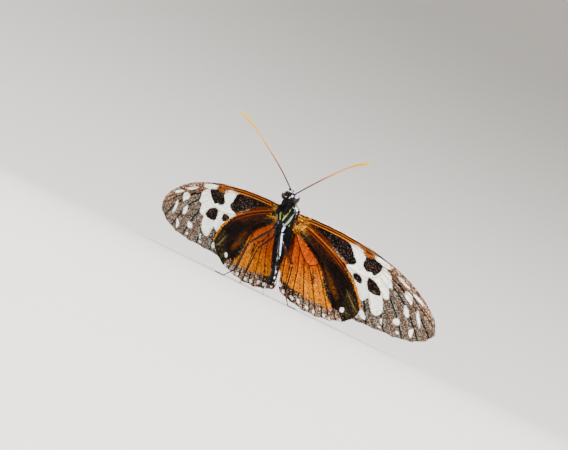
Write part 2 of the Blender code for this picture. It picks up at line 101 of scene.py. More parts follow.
FOREWING_VEINS = {
    "subcosta": [(0.4, -0.5), (8, -0.9), (15, -2.2), (21.5, -3.8)],
    "radius": [(0.4, -1), (7, -1.6), (13, -2.6), (18, -4.3), (22, -5.9), (24.2, -6.8)],
    "radius_1": [(18, -4.3), (23, -5.1), (28.2, -6.5)],
    "radius_2": [(24.2, -6.8), (28.5, -7.7), (33, -9.2)],
    "radius_4": [(24.2, -6.8), (29.5, -9.3), (34, -11.7), (39.2, -15.6)],
    "radius_5": [(29.5, -9.3), (34, -13.2), (37.8, -17), (40, -19.6)],
    "media_1": [(24.3, -7.8), (29, -10.6), (33.3, -14.6), (36.3, -19), (38.2, -22.4)],
    "media_2": [(23.6, -9.1), (27.4, -12.2), (30.8, -16.5), (33.3, -21), (34.9, -24.2)],
    "media_3": [(22, -10.4), (25, -13.6), (27.3, -18), (29.2, -22.3), (30, -24.9)],
    "cubitus_1": [(20.2, -10.9), (21.6, -14.2), (22.9, -18.6), (24.2, -22.8), (24.8, -25)],
    "cubitus_2": [(14.6, -9.4), (17, -14), (19.1, -19), (20.3, -24.6)],
    "cubitus": [(0.4, -1.5), (5, -3.7), (10, -6.7), (14.6, -9.4), (17.6, -10.5), (20.2, -10.9)],
    "cell_end": [(20.2, -10.9), (22, -10.4), (23.6, -9.1), (24.3, -7.8), (24.2, -6.8)],
    "anal": [(1.2, -2.1), (5, -6.2), (9.6, -13.4), (13.6, -20.4), (15.2, -23.2)],
}
HINDWING_VEINS = {
    "subcosta": [(0.4, -3), (5.5, -5), (11.7, -9.2), (16.6, -14), (20, -19.6)],
    "radius": [(0.4, -3.5), (4.6, -6.2), (8.8, -10), (13.8, -16), (17.8, -21.6), (19.2, -24)],
    "media_1": [(8.8, -10), (12.2, -17), (15.4, -23.2), (16.6, -26)],
    "media_2": [(7.7, -12), (10.2, -18.4), (12.3, -24.8), (12.9, -27.2)],
    "media_3": [(5.6, -13.2), (7.4, -19), (8.8, -25), (9.2, -27.6)],
    "cubitus_1": [(4, -11.6), (4.8, -18), (5.4, -24), (5.6, -27.1)],
    "cubitus_2": [(2.5, -8.9), (2.7, -15), (2.4, -21), (2.1, -25.8)],
    "cubitus": [(0.3, -4), (1.4, -6.4), (2.5, -8.9), (4, -11.6), (5.6, -13.2)],
    "cell_end": [(5.6, -13.2), (7.7, -12), (8.8, -10)],
    "anal": [(0.2, -4.8), (0.6, -10), (0.4, -17), (-0.3, -23.9)],
    "anal_2": [(-0.9, -5.5), (-1, -10), (-1.1, -16), (-1.3, -22.5)],
}
INNER_VEINS = ("radius", "cubitus", "cell_end")

# Markings, each a list of closed shapes in the same plan
FOREWING_MARKS = {
    "orange": [
        [(-2.4, 0.8), (6, 0.6), (13, -0.5), (19, -2.2), (22.3, -4.1), (18.6, -3.9), (15.2, -3.4),
         (15.6, -6.2), (15.4, -8.8), (17.2, -10.4), (15.4, -10.9), (16.5, -14), (17, -19), (15.6, -22),
         (12.5, -22.5), (8, -14), (3, -6), (-2.4, -2.8)],
    ],
    "pale": [
        [(13.9, -2.5), (16.2, -2.8), (18.7, -3.7), (19.6, -4.6), (20.5, -5.6), (23.9, -6.4), (25.4, -6.9),
         (26.5, -8), (26.9, -9.6), (27.4, -11.3), (26.5, -11.4), (26.7, -12.6), (27, -14.6),
         (26.2, -15.1), (25.4, -15), (25.9, -17.2), (26, -19.4), (25.5, -20.4), (24.6, -21),
         (23.4, -20.5),
         (22.6, -18.6), (21.9, -16.7), (21.3, -17.3), (20.3, -18.4), (19.3, -17.2), (18.3, -15),
         (16.8, -12.2), (14.6, -9.9), (15.2, -9.3), (16.4, -8.7), (15.6, -6), (14.8, -4)],
        [(21.3, -4), (22.8, -4.2), (24.8, -4.9), (26, -5.6), (26.2, -6.2), (24.8, -6.3), (22.9, -5.7),
         (21.4, -4.9)],
    ],
    "dark": [
        [(5, -1.8), (8, -2), (11, -2.4), (13.6, -2.9), (14.9, -3.7), (15.6, -5.2), (16.2, -6.6),
         (16.9, -7.7), (16.5, -8.7), (15.6, -8.9), (13.9, -8.1), (12, -6.8), (10, -5.3), (8, -3.9),
         (6.2, -2.8)],
        [(19.4, -5.3), (20.5, -5.5), (21.6, -5.2), (22.9, -5.7), (23.8, -6.3), (23.6, -7.8), (22.9, -8.9),
         (22.2, -9.7), (21.3, -9.1), (20.3, -9.3), (19.1, -8.3), (19, -7.2), (19.3, -6.2)],
        [(16.9, -11.5), (17.6, -11.1), (18.6, -11.3), (19.1, -12.1), (19.3, -13.1), (18.9, -13.6),
         (18.1, -13.3), (17.2, -12.6)],
        [(20.9, -11.1), (21.8, -11), (23.2, -11.7), (24.3, -13), (24.8, -14.2), (24.4, -14.9),
         (23, -15.1), (21.6, -14.5), (21, -13)],
    ],
    "gold": [
        [(-2.4, -0.9), (0.3, -1.1), (2.2, -2), (4.4, -3.4), (5.4, -4.6), (3.6, -4.3), (1.6, -3.6),
         (-0.6, -3.2), (-2.6, -2.9)],
    ],
    "rust": [
        [(1.5, -1.9), (5, -2.9), (8.4, -4.6), (12, -7.2), (15.2, -9.3), (14.4, -9.6), (9.6, -6.9),
         (5, -4.1), (1.5, -2.9)],
    ],
    "band": [
        [(25, -4.6), (29, -6), (33.4, -8.5), (37.4, -12.2), (40, -16.4), (38.8, -16.8), (35.6, -13.2),
         (32.6, -10.6), (29, -8.7), (26.4, -7.2)],
        [(10.6, -5.6), (11.8, -6.4), (13.4, -7.7), (15.2, -9), (14.4, -8.9), (12.4, -7.5), (11.2, -6.5)],
    ],
    "tan": [
        [(17.4, -3), (20, -3.3), (21.6, -3.9), (21.8, -5), (21.2, -5.6), (20, -5.8), (19, -5.3),
         (18, -3.9)],
    ],
    "spots": [
        [(30.8, -10.7), (31.8, -10.5), (32.9, -11.3), (33.2, -13.2), (32.9, -14), (32.2, -13.2),
         (31.1, -12.3)],
        [(31.3, -14.6), (32, -14.9), (32.8, -16), (33.1, -17.6), (32.6, -18), (31.9, -17.4),
         (31.4, -16.2)],
        [(34.8, -14.4), (35.3, -14.9), (36.2, -17.4), (36.6, -19.4), (36.1, -19.3), (35.2, -17.5),
         (34.8, -15.8)],
        [(29.6, -19.6), (30.7, -19.3), (31.1, -20), (31, -21.2), (30, -21.4), (29.2, -20.8)],
        [(34.1, -20.9), (34.9, -20.4), (35, -22), (34.9, -23.4), (34.2, -23), (33.8, -21.8)],
        [(30.5, -23), (31.4, -23.2), (31.4, -24), (30.7, -23.9)],
        [(25.9, -21.5), (26.4, -21.3), (26.7, -23), (26.2, -22.9)],
        [(25.7, -23.6), (26.5, -23.6), (26.6, -24.3), (25.8, -24.2)],
        [(20.2, -20.9), (21.2, -21.4), (22, -22.5), (22, -23.7), (21, -23.6), (20.2, -22.6)],
        [(19.2, -21.6), (19.9, -21.9), (20.2, -23.8), (19.4, -23.9)],
        [(28, -7.3), (29.5, -7.7), (31.4, -8.9), (32.2, -9.6), (31, -9.5), (29.3, -8.6)],
        [(32.9, -10.6), (34.2, -10.8), (35.9, -11.9), (36, -12.6), (34.6, -12)],
    ],
}
HINDWING_MARKS = {
    "orange": [
        [(-3, -3.6), (1, -4.9), (3, -6.6), (5.2, -8.9), (7, -10.7), (8.8, -13.4), (9.9, -15.7),
         (11.3, -19), (12.5, -21.8), (13.4, -23.9), (12.6, -24.4), (10.7, -24.2), (8.2, -23.9),
         (5.7, -23.5), (3.2, -22.3), (1.2, -21.7), (-0.5, -20.8), (-3, -19.5)],
        [(14.9, -10.3), (15.8, -10.5), (19.4, -15.2), (21, -19.2), (20.6, -20.2), (19.6, -17.6),
         (18, -14.4), (16.2, -11.8)],
    ],
    "gold": [
        [(-2.4, -1.6), (0.8, -1.2), (3.2, -2.4), (4.2, -3.8), (2.6, -4), (0.6, -3.7), (-2.4, -3.6)],
    ],
    "rust": [
        [(9.6, -12.2), (11.4, -13.8), (13.2, -17), (14.3, -19.8), (13.4, -19.4), (12, -17.6),
         (10.6, -15)],
        [(0.5, -3.9), (4, -4.6), (8, -6.6), (12, -9.3), (11.6, -10), (7.4, -7.6), (3.6, -5.6),
         (1, -4.6)],
    ],
    "tan": [
        [(1.4, -4.7), (2.8, -4.6), (4.1, -5.2), (3.9, -6.3), (2.9, -6.4), (2, -5.6)],
        [(17, -15.8), (18.6, -17), (19.9, -20), (19.7, -22.6), (18.2, -24.4), (16.9, -22.8),
         (16.5, -19.5)],
    ],
    "dark": [
        [(6.5, -14.2), (7.1, -14.6), (7.7, -17.9), (7.2, -17.9), (6.7, -16.2)],
        [(9.7, -15.2), (10.6, -16.2), (11.6, -18.8), (12.5, -21.8), (11.9, -21.6), (10.9, -19.4),
         (10, -17.2)],
    ],
    "band": [
        [(-3, -19.8), (-0.5, -21.2), (1.4, -22.2), (3.4, -22.7), (5.8, -23.5), (8.2, -23.8), (10.7, -24),
         (13, -24.3), (14.4, -23.7), (15.8, -24.5), (16.4, -26), (15, -29), (4, -30), (-4, -26)],
    ],
    "spots": [
        [(15.5, -22.2), (16.2, -21.9), (16.6, -22.7), (16.2, -23.5), (15.5, -23.3)],
        [(-0.7, -23.4), (-0.1, -23.2), (-0.1, -24.4), (-0.7, -24.3)],
        [(-1.9, -21.6), (-1.3, -21.3), (-1, -22.6), (-1.7, -22.8)],
        [(1.6, -24.3), (2.2, -24), (2.7, -25.1), (2.1, -25.5)],
        [(3.6, -24.6), (4.1, -24.5), (4.5, -25.7), (3.9, -25.8)],
        [(6.1, -25.9), (6.8, -25.6), (7.1, -26.5), (6.5, -26.8)],
        [(8.1, -26.2), (8.7, -26), (9, -26.9), (8.4, -27.2)],
        [(11, -26.2), (11.6, -26), (12, -26.9), (11.4, -27.2)],
        [(12.6, -26.5), (13.1, -26.4), (13.4, -27.2), (12.9, -27.4)],
        [(15.5, -25.8), (16.1, -25.7), (16.4, -26.5), (15.9, -26.8)],
    ],
}

# Head, thorax and abdomen: (y, z, half width, half height) of the skin under the fur
TRUNK_PROFILE = [
    (-7.3, 0.25, 0.05, 0.05), (-7.2, 0.25, 0.62, 0.6), (-6.9, 0.28, 1.0, 1.02), (-6.4, 0.3, 1.28, 1.3),
    (-5.9, 0.3, 1.34, 1.36), (-5.4, 0.3, 1.22, 1.25), (-4.95, 0.27, 0.95, 0.98), (-4.6, 0.25, 0.84, 0.88),
    (-4.2, 0.25, 1.05, 1.1), (-3.8, 0.22, 1.38, 1.45), (-3.1, 0.15, 1.62, 1.8), (-2.2, 0.1, 2.02, 2.3),
    (-0.8, 0.0, 2.24, 2.54), (0.6, 0.0, 2.2, 2.48), (2.0, 0.0, 1.9, 2.12), (3.1, -0.05, 1.42, 1.55),
    (3.8, -0.1, 1.02, 1.08), (4.3, -0.14, 0.86, 0.9),
]
HEAD_END = -4.9
ABDOMEN_Z = -0.15
ABDOMEN_START = 4.8
ABDOMEN_END = 18.75
ABDOMEN_RADIUS = 1.2
ABDOMEN_DROOP = 1.1
ABDOMEN_SEGMENTS = 8
SEGMENT_STEPS = 10
SEGMENT_GROOVE = 0.09

# Eyes, feelers and mouth
EYE_RADII = (0.92, 1.15, 1.3)
EYE_PLACE = (1.5, -6.05, 0.35)
EYE_TILT = math.radians(-12.0)
ANTENNA_LENGTH = 23.5
ANTENNA_SPREAD = math.radians(43.0)
ANTENNA_RINGS = 34
ANTENNA_RADIUS = 0.175
CLUB_SWELL = 0.15
RING_GROOVE = 0.022
COIL_Y = -5.75
COIL_Z = -2.95
COIL_TURNS = 1.9
COIL_RADIUS = 0.95
COIL_CLOSING = 0.78

# Hair and scales that stand up: lengths and widths, and how many grow on each square mm. Each tuft has a
# patch on its map, half as wide as given
TUFT_FLATNESS = 0.45
PATCH_HALF = 0.0014
TRUNK_HAIR_DENSITY = 46
THORAX_HAIR = 0.62
HEAD_HAIR = 0.4
ABDOMEN_HAIR = 0.36
PALP_HAIR = 0.26
PALP_HAIR_DENSITY = 190
FORELEG_HAIR = 0.3
FORELEG_HAIR_DENSITY = 120
LIMB_HAIR_WIDTH = 0.035
ROOT_HAIR_WIDTH = 0.034
FRINGE_LENGTH = (0.24, 0.42)
FRINGE_WIDTH = 0.055
FRINGE_SPACING = 0.11

# Legs: hip and trochanter in the body frame, ankle and toe on the floor, and how white their bloom of pale
# scales and painted glint is
FEMUR = 6.9
TIBIA = 7.2
ANKLE_HEIGHT = 2.7
FOOT_RADIUS = 0.15
SHIN_SPINES = 14
SPINE_LENGTH = 0.42
SPINE_RADIUS = 0.03
SPUR_LENGTH = 0.75
SPUR_RADIUS = 0.045
MID_LEG = ((0.9, 1.2, -1.9), (1.3, 2.0, -3.45), (4.5, -4.2), (7.0, -8.9), 1.0)
HIND_LEG = ((0.85, 3.0, -1.3), (1.2, 4.5, -2.75), (6.0, 5.4), (8.5, 10.2), 0.72)
FORE_LEG = [(0.75, -3.2, -0.9), (0.85, -3.0, -2.3), (0.95, -2.5, -3.3), (1.0, -3.0, -3.75),
            (1.02, -3.9, -3.2), (1.0, -4.7, -2.3)]

# Camera, with its distance and height from a point of the floor straight under the butterfly
CAMERA_AZIMUTH = 23.16
CAMERA_DISTANCE = 260.0
CAMERA_HEIGHT = 2.2
CAMERA_TURN = 0.289
CAMERA_TILT = 3.452
CAMERA_ROLL = 25.62
CAMERA_LENS = 66.06

# Stage, in metres: the flat floor's radius and its shift towards the camera, and the curve up to the wall
FLOOR_RADIUS = 0.21
FLOOR_SHIFT = 0.115
FLOOR_RIM = 0.02
WALL_CURVE = 1.4
WALL_STEPS = 40
WALL_CLIMB = 82

# Lamps: name, place and size in metres, power in watts, colour
LAMPS = (
    ("key", (0.42, -0.55, 0.3), 0.2, 15.0, "#FFF8EE"),
    ("fill", (-0.3, -0.6, 0.16), 0.4, 2.5, "#EAF1FF"),
    ("top", (0.0, 0.25, 0.7), 0.5, 7.0, "#FFFFFF"),
)
AIM_HEIGHT = 0.018
ROOM_COLOUR = "#EEF0F2"
ROOM_STRENGTH = 0.25


# Curves and distances in the plane and in space

def smooth_line(points, per_span, closed=False):
    """Points on a Catmull-Rom curve through the given ones, per_span to each span."""
    given = [np.array(p, float) for p in points]
    count = len(given)
    line = []
    for i in range(count if closed else count - 1):
        if closed:
            a, b, c, d = (given[(i + k) % count] for k in (-1, 0, 1, 2))
        else:
            b, c = given[i], given[i + 1]
            a = given[i - 1] if i else 2 * b - c
            d = given[i + 2] if i + 2 < count else 2 * c - b
        for t in np.arange(per_span) / per_span:
            line.append(0.5 * (2 * b + (c - a) * t + (2 * a - 5 * b + 4 * c - d) * t * t
                               + (3 * b - a - 3 * c + d) * t ** 3))
    if not closed:
        line.append(given[-1])
    return np.array(line)


def resample(line, count):
    """Count points evenly spaced along a line."""
    steps = np.linalg.norm(np.diff(line, axis=0), axis=1)
    reach = np.concatenate(([0], np.cumsum(steps)))
    at = np.linspace(0, reach[-1], count)
    return np.stack([np.interp(at, reach, line[:, k]) for k in range(line.shape[1])], axis=1)


def distance_to_line(points, line):
    """Distance from each point to the nearest segment of a line."""
    best = np.full(len(points), 1e9)
    for a, b in zip(line, line[1:]):
        along = b - a
        share = np.clip(((points - a) @ along) / max(float(along @ along), 1e-12), 0, 1)
        best = np.minimum(best, ((points - a - share[:, None] * along) ** 2).sum(axis=1))
    return np.sqrt(best)


def depth_outside(points, shape):
    """Distance to a closed smooth shape, negative inside it."""
    outline = smooth_line(shape, 4, closed=True)
    closed = np.vstack((outline, outline[:1]))
    within = np.zeros(len(points), bool)
    for a, b in zip(closed, closed[1:]):
        if a[1] == b[1]:
            continue
        crosses = (a[1] > points[:, 1]) != (b[1] > points[:, 1])
        at = a[0] + (points[:, 1] - a[1]) * (b[0] - a[0]) / (b[1] - a[1])
        within ^= crosses & (points[:, 0] < at)
    away = distance_to_line(points, closed)
    return np.where(within, -away, away)


def unit(vectors):
    """The vectors at length 1."""
    return vectors / np.linalg.norm(vectors, axis=1)[:, None]


def fade(value, low, high):
    """0 below low, 1 above high and smooth between."""
    t = np.clip((value - low) / (high - low), 0, 1)
    return t * t * (3 - 2 * t)


# Materials

def linear(hex_colour):
    """The linear colour of an sRGB hex value."""
    parts = [int(hex_colour[i:i + 2], 16) / 255 for i in (1, 3, 5)]
    return (*(p / 12.92 if p <= 0.04045 else ((p + 0.055) / 1.055) ** 2.4 for p in parts), 1.0)


def node(tree, kind, inputs=None, **settings):
    """Adds a node, with its settings and with a value or a link for each named input."""
    made = tree.nodes.new(kind)
    for key, value in settings.items():
        setattr(made, key, value)
    for key, value in (inputs or {}).items():
        if isinstance(value, bpy.types.NodeSocket):
            tree.links.new(value, made.inputs[key])
        else:
            made.inputs[key].default_value = value
    return made


def start_material(name, **constants):
    """A material with a bare Principled shader whose sockets hold the given constants."""
    made = bpy.data.materials.new(name)
    made.use_nodes = True
    shader = made.node_tree.nodes["Principled BSDF"]
    for key, value in constants.items():
        shader.inputs[key.replace("_", " ")].default_value = value
    return made, made.node_tree, shader


def set_stops(ramp, stops):
    """Fills a colour ramp with stops of a position and a colour."""
    while len(ramp.elements) < len(stops):
        ramp.elements.new(0.5)
    for element, (position, shade) in zip(ramp.elements, stops):
        element.position = position
        element.color = linear(shade)


def wire(tree, shader, colour, bump, shine):
    """Leads a colour, a bump and a roughness into the shader."""
    for socket, source in (("Base Color", colour), ("Normal", bump), ("Roughness", shine)):
        tree.links.new(source, shader.inputs[socket])


def wing_scales(name, ground, layers, costa, speckle, gloss):
    """Overlapping chitin scales on a wing: matt, speckled scale by scale and streaked along the veins.

    The ground and each layer over it give the attribute that is negative on it, how soft and how ragged
    its edge is, its colour near the wing's root and far from it (where brighter, partly a painted glow of
    light through the wing), the colour of its fleck and the share of flecked scales, the veins' colour and
    half width, and the colour and strength of the line midway between veins. The costa is a list of a
    distance from the leading edge and the colour there.
    """
    made, tree, shader = start_material(name, Specular_IOR_Level=0.05, IOR=1.5)
    plan = node(tree, "ShaderNodeUVMap", uv_map="WingPlan")
    place = node(tree, "ShaderNodeMapping", {"Vector": plan.outputs[0],
                                             "Scale": (PLAN_UNIT, PLAN_UNIT, 1.0)})
    # One scale is about 0.1 mm wide. These cells are 0.24 mm, so that the speckle shows
    cells = node(tree, "ShaderNodeTexVoronoi", {"Vector": place.outputs[0], "Scale": 4.2})
    grain = node(tree, "ShaderNodeSeparateColor", {"Color": cells.outputs["Color"]})
    # These cells are single scales
    scales = node(tree, "ShaderNodeTexVoronoi", {"Vector": place.outputs[0], "Scale": 9.0})
    single = node(tree, "ShaderNodeSeparateColor", {"Color": scales.outputs["Color"]})
    fan = node(tree, "ShaderNodeUVMap", uv_map="WingFan")
    along = node(tree, "ShaderNodeMapping", {"Vector": fan.outputs[0], "Scale": (5.0, 110.0, 1.0)})
    streak = node(tree, "ShaderNodeTexNoise", {"Vector": along.outputs[0], "Scale": 1.0, "Detail": 2.0})
    cloud = node(tree, "ShaderNodeTexNoise", {"Vector": place.outputs[0], "Scale": 0.45, "Detail": 3.0,
                                              "Roughness": 0.6})
    blotch = node(tree, "ShaderNodeTexNoise", {"Vector": place.outputs[0], "Scale": 1.6, "Detail": 4.0,
                                               "Roughness": 0.7})
    vein, between, glow, lead, on_lead = (node(tree, "ShaderNodeAttribute", attribute_name=each)
                                          for each in ("vein", "between", "glow", "lead", "on_lead"))
    shift = node(tree, "ShaderNodeMath", {0: grain.outputs[0], 1: -0.5}, operation="ADD")
    colour = None
    for attribute, soft, ragged, base, far, fleck, share, vein_colour, vein_half, fold in [ground] + layers:
        dots = node(tree, "ShaderNodeMapRange", {0: grain.outputs[1], 1: 1.0 - share, 2: 1.05 - share})
        # From the root's colour to the outer colour; the underside's brighter outer orange is partly a
        # painted glow of light through the wing
        tone = node(tree, "ShaderNodeMix", {0: glow.outputs["Fac"], 6: linear(base), 7: linear(far)},
                    data_type="RGBA")
        tone = node(tree, "ShaderNodeMix", {0: dots.outputs[0], 6: tone.outputs[2], 7: linear(fleck)},
                    data_type="RGBA")
        if fold:
            line = node(tree, "ShaderNodeMapRange", {0: between.outputs["Fac"], 1: 0.22, 2: 0.62,
                                                     3: fold[1], 4: 0.0})
            broken = node(tree, "ShaderNodeMath", {0: line.outputs[0], 1: blotch.outputs["Fac"]},
                          operation="MULTIPLY")
            tone = node(tree, "ShaderNodeMix", {0: broken.outputs[0], 6: tone.outputs[2],
                                                7: linear(fold[0])}, data_type="RGBA")
        edge = node(tree, "ShaderNodeMapRange", {0: vein.outputs["Fac"], 1: vein_half, 2: vein_half + 0.13,
                                                 3: 1.0, 4: 0.0})
        tone = node(tree, "ShaderNodeMix", {0: edge.outputs[0], 6: tone.outputs[2],
                                            7: linear(vein_colour)}, data_type="RGBA")
        if colour is None:
            colour = tone
            continue
        zone = node(tree, "ShaderNodeAttribute", attribute_name=attribute)
        rough_edge = node(tree, "ShaderNodeMath", {0: shift.outputs[0], 1: ragged,
                                                   2: zone.outputs["Fac"]}, operation="MULTIPLY_ADD")
        mask = node(tree, "ShaderNodeMapRange", {0: rough_edge.outputs[0], 1: -soft, 2: soft,
                                                 3: 1.0, 4: 0.0})
        colour = node(tree, "ShaderNodeMix", {0: mask.outputs[0], 6: colour.outputs[2],
                                              7: tone.outputs[2]}, data_type="RGBA")
    uneven = node(tree, "ShaderNodeMath", {0: blotch.outputs["Fac"], 1: 0.12, 2: lead.outputs["Fac"]},
                  operation="MULTIPLY_ADD")
    lead_share = node(tree, "ShaderNodeMapRange", {0: uneven.outputs[0], 1: 0.06, 2: 2.06})
    stripe = node(tree, "ShaderNodeValToRGB", {0: lead_share.outputs[0]})
    set_stops(stripe.color_ramp, [(distance / 2.0, shade) for distance, shade in costa])
    colour = node(tree, "ShaderNodeMix", {0: on_lead.outputs["Fac"], 6: colour.outputs[2],
                                          7: stripe.outputs[0]}, data_type="RGBA")
    shading = node(tree, "ShaderNodeMapRange", {0: cloud.outputs["Fac"], 1: 0.3, 2: 0.7, 3: 0.88, 4: 1.12})
    for source, low, high, amount in ((grain.outputs[2], 0.0, 1.0, speckle),
                                      (single.outputs[0], 0.0, 1.0, speckle * 0.6),
                                      (streak.outputs["Fac"], 0.3, 0.7, speckle * 0.6)):
        part = node(tree, "ShaderNodeMapRange", {0: source, 1: low, 2: high, 3: 1.0 - amount,
                                                 4: 1.0 + amount})
        shading = node(tree, "ShaderNodeMath", {0: shading.outputs[0], 1: part.outputs[0]},
                       operation="MULTIPLY")
    final = node(tree, "ShaderNodeVectorMath", {0: colour.outputs[2], "Scale": shading.outputs[0]},
                 operation="SCALE")
    # Rows of scales, about 0.1 mm apart as the real ones are
    rows = node(tree, "ShaderNodeTexWave", {"Vector": place.outputs[0], "Scale": 3.3, "Distortion": 2.0,
                                            "Detail": 1.0}, bands_direction="Y")
    relief = node(tree, "ShaderNodeMath", {0: scales.outputs["Distance"], 1: rows.outputs["Fac"]},
                  operation="ADD")
    bump = node(tree, "ShaderNodeBump", {"Height": relief.outputs[0], "Strength": 0.35,
                                         "Distance": 0.00004})
    shine = node(tree, "ShaderNodeMapRange", {0: grain.outputs[0], 3: gloss, 4: gloss + 0.18})
    wire(tree, shader, final.outputs[0], bump.outputs[0], shine.outputs[0])
    return made


def fur(name, ground, marks, gloss):
    """Hair and hair scales of chitin: matt, each tuft a little lighter or darker than the next.

    Each mark gives the attribute that is negative on it, how soft its edge is and its colour.
    """
    made, tree, shader = start_material(name, Specular_IOR_Level=0.12, IOR=1.55)
    place = node(tree, "ShaderNodeTexCoord")
    grain = node(tree, "ShaderNodeTexNoise", {"Vector": place.outputs["Object"], "Scale": 4200.0,
                                              "Detail": 2.0})
    tint = node(tree, "ShaderNodeAttribute", attribute_name="tint")
    colour = node(tree, "ShaderNodeMix", {0: tint.outputs["Fac"], 6: linear(ground[0]),
                                          7: linear(ground[1])}, data_type="RGBA")
    for attribute, soft, shade in marks:
        mark = node(tree, "ShaderNodeAttribute", attribute_name=attribute)
        rough_edge = node(tree, "ShaderNodeMath", {0: grain.outputs["Fac"], 1: 0.16,
                                                   2: mark.outputs["Fac"]}, operation="MULTIPLY_ADD")
        mask = node(tree, "ShaderNodeMapRange", {0: rough_edge.outputs[0], 1: 0.08 - soft, 2: 0.08 + soft,
                                                 3: 1.0, 4: 0.0})
        colour = node(tree, "ShaderNodeMix", {0: mask.outputs[0], 6: colour.outputs[2],
                                              7: linear(shade)}, data_type="RGBA")
    bump = node(tree, "ShaderNodeBump", {"Height": grain.outputs["Fac"], "Strength": 0.5,
                                         "Distance": 0.00005})
    shine = node(tree, "ShaderNodeMapRange", {0: grain.outputs["Fac"], 3: gloss, 4: gloss + 0.25})
    wire(tree, shader, colour.outputs[2], bump.outputs[0], shine.outputs[0])
    return made


WING_UNDER = wing_scales(
    "forewing_underside_scales",
    (None, 0, 0, "#2E2B29", "#42342A", "#847C72", 0.36, "#5E3A26", 0.09, ("#050302", 2.0)),
    [
        ("orange", 0.3, 0.8, "#3E1A05", "#3E1A05", "#140702", 0.3, "#B86404", 0.04, ("#120602", 1.2)),
        ("rust", 0.4, 0.8, "#521C04", "#521C04", "#200C03", 0.3, "#C46C06", 0.04, None),
        ("gold", 0.5, 0.9, "#A05A0A", "#A05A0A", "#4A2004", 0.34, "#D0901C", 0.06, None),
        ("band", 0.5, 1.1, "#54382A", "#54382A", "#B8A08C", 0.32, "#5A3016", 0.09, ("#1A0E08", 1.2)),
        ("pale", 0.08, 0.22, "#F4F8F0", "#F4F8F0", "#E0E8E0", 0.25, "#CDA660", 0.04, None),
        ("tan", 0.2, 0.8, "#3A1C0A", "#3A1C0A", "#8E5A2E", 0.34, "#7A3E0C", 0.07, None),
        ("dark", 0.1, 0.22, "#030202", "#030202", "#44342E", 0.22, "#140904", 0.06, None),
        ("spots", 0.12, 0.25, "#F6F9F6", "#F6F9F6", "#DCE2DE", 0.16, "#A89478", 0.05, None),
    ],
    [(0.0, "#EEDCD0"), (0.24, "#D8B4A0"), (0.36, "#060302"), (0.72, "#060302"), (0.84, "#A8580A"),
     (0.97, "#883E08"), (1.08, "#060302"), (1.38, "#060302"), (1.5, "#B0620C"), (1.66, "#9C5006"),
     (1.85, "#1E0A02")], 0.26, 0.62)
WING_UPPER = wing_scales(
    "forewing_upper_scales",
    (None, 0, 0, "#070506", "#070506", "#1C1410", 0.2, "#0D0A0A", 0.13, None),
    [
        ("orange", 0.35, 0.8, "#A84400", "#9A3A00", "#6A2400", 0.15, "#1A0A04", 0.12, ("#4A1C04", 0.8)),
        ("pale", 0.1, 0.25, "#EAD27C", "#EAD27C", "#D8BC60", 0.2, "#2A1C10", 0.1, None),
        ("tan", 0.12, 0.4, "#070506", "#070506", "#1C1410", 0.2, "#0D0A0A", 0.1, None),
        ("dark", 0.14, 0.5, "#060405", "#060405", "#160E0A", 0.12, "#0A0707", 0.07, None),
        ("high_spots", 0.16, 0.5, "#E6D296", "#E6D296", "#C8B478", 0.1, "#A89478", 0.05, None),
    ],
    [(0.0, "#1C100A"), (0.28, "#120A06"), (0.42, "#070506"), (0.8, "#070506"), (1.0, "#070506"),
     (1.35, "#070506"), (1.6, "#070506")], 0.2, 0.55)
HIND_UNDER = wing_scales(
    "hindwing_underside_scales",
    (None, 0, 0, "#030202", "#040203", "#1E1008", 0.16, "#1E0C04", 0.08, None),
    [
        ("rust", 0.5, 0.8, "#321204", "#5C3208", "#0C0502", 0.4, "#4A2004", 0.08, None),
        ("orange", 0.22, 0.6, "#A64200", "#C87A00", "#6A2200", 0.3, "#2A0C00", 0.08, ("#7A2C02", 0.9)),
        ("gold", 0.5, 0.9, "#A05A0C", "#A05A0C", "#5A2A06", 0.3, "#D0901C", 0.08, None),
        ("band", 0.6, 1.8, "#1C100A", "#1C100A", "#8A6450", 0.26, "#080403", 0.1, None),
        ("frost", 0.5, 1.3, "#5A4032", "#54402F", "#B49E90", 0.28, "#160C08", 0.1, ("#0C0604", 1.9)),
        ("tan", 0.6, 1.0, "#1C150B", "#171009", "#4A4028", 0.2, "#080403", 0.1, ("#70602E", 1.0)),
        ("dark", 0.2, 0.6, "#050303", "#050303", "#4E4A3A", 0.26, "#0E0704", 0.08, None),
        ("spots", 0.1, 0.25, "#F2F6F4", "#F2F6F4", "#C8D0CE", 0.16, "#8A7C78", 0.05, None),
    ],
    [(0.0, "#7E3A06"), (0.22, "#6A2C06"), (0.34, "#220A02"), (0.7, "#260C03"), (0.85, "#6A2E06"),
     (1.05, "#2A0E03"), (1.4, "#120602"), (2.0, "#080402")], 0.3, 0.62)
HIND_UPPER = wing_scales(
    "hindwing_upper_scales",
    (None, 0, 0, "#070506", "#070506", "#1C1008", 0.16, "#0D0A0A", 0.12, None),
    [
        ("rust", 0.5, 0.7, "#A84400", "#A84400", "#6A2400", 0.2, "#1A0A04", 0.1, None),
        ("orange", 0.3, 0.7, "#A84400", "#B04C00", "#6A2400", 0.15, "#1A0A04", 0.1, ("#5A2002", 0.8)),
        ("band", 0.35, 0.8, "#070506", "#070506", "#1C1410", 0.2, "#0D0A0A", 0.1, None),
        ("dark", 0.2, 0.5, "#070506", "#070506", "#1C1410", 0.2, "#0D0A0A", 0.08, None),
        ("high_spots", 0.14, 0.35, "#CCC6B4", "#CCC6B4", "#A09C8C", 0.1, "#8A7C78", 0.05, None),
    ],
    [(0.0, "#2A1A10"), (0.3, "#4A240C"), (0.7, "#8A3E04"), (1.1, "#A04200"), (1.4, "#A84400"),
     (1.7, "#A84400"), (2.0, "#A84400")], 0.2, 0.55)
BODY_FUR = fur("body_hair_scales", ("#030304", "#121114"),
               [("rust", 0.12, "#54240A"), ("cream", 0.07, "#A4B45C"), ("sage", 0.08, "#7C9078"),
                ("white", 0.07, "#F2F5FC"), ("amber", 0.07, "#D88A0C")], 0.6)
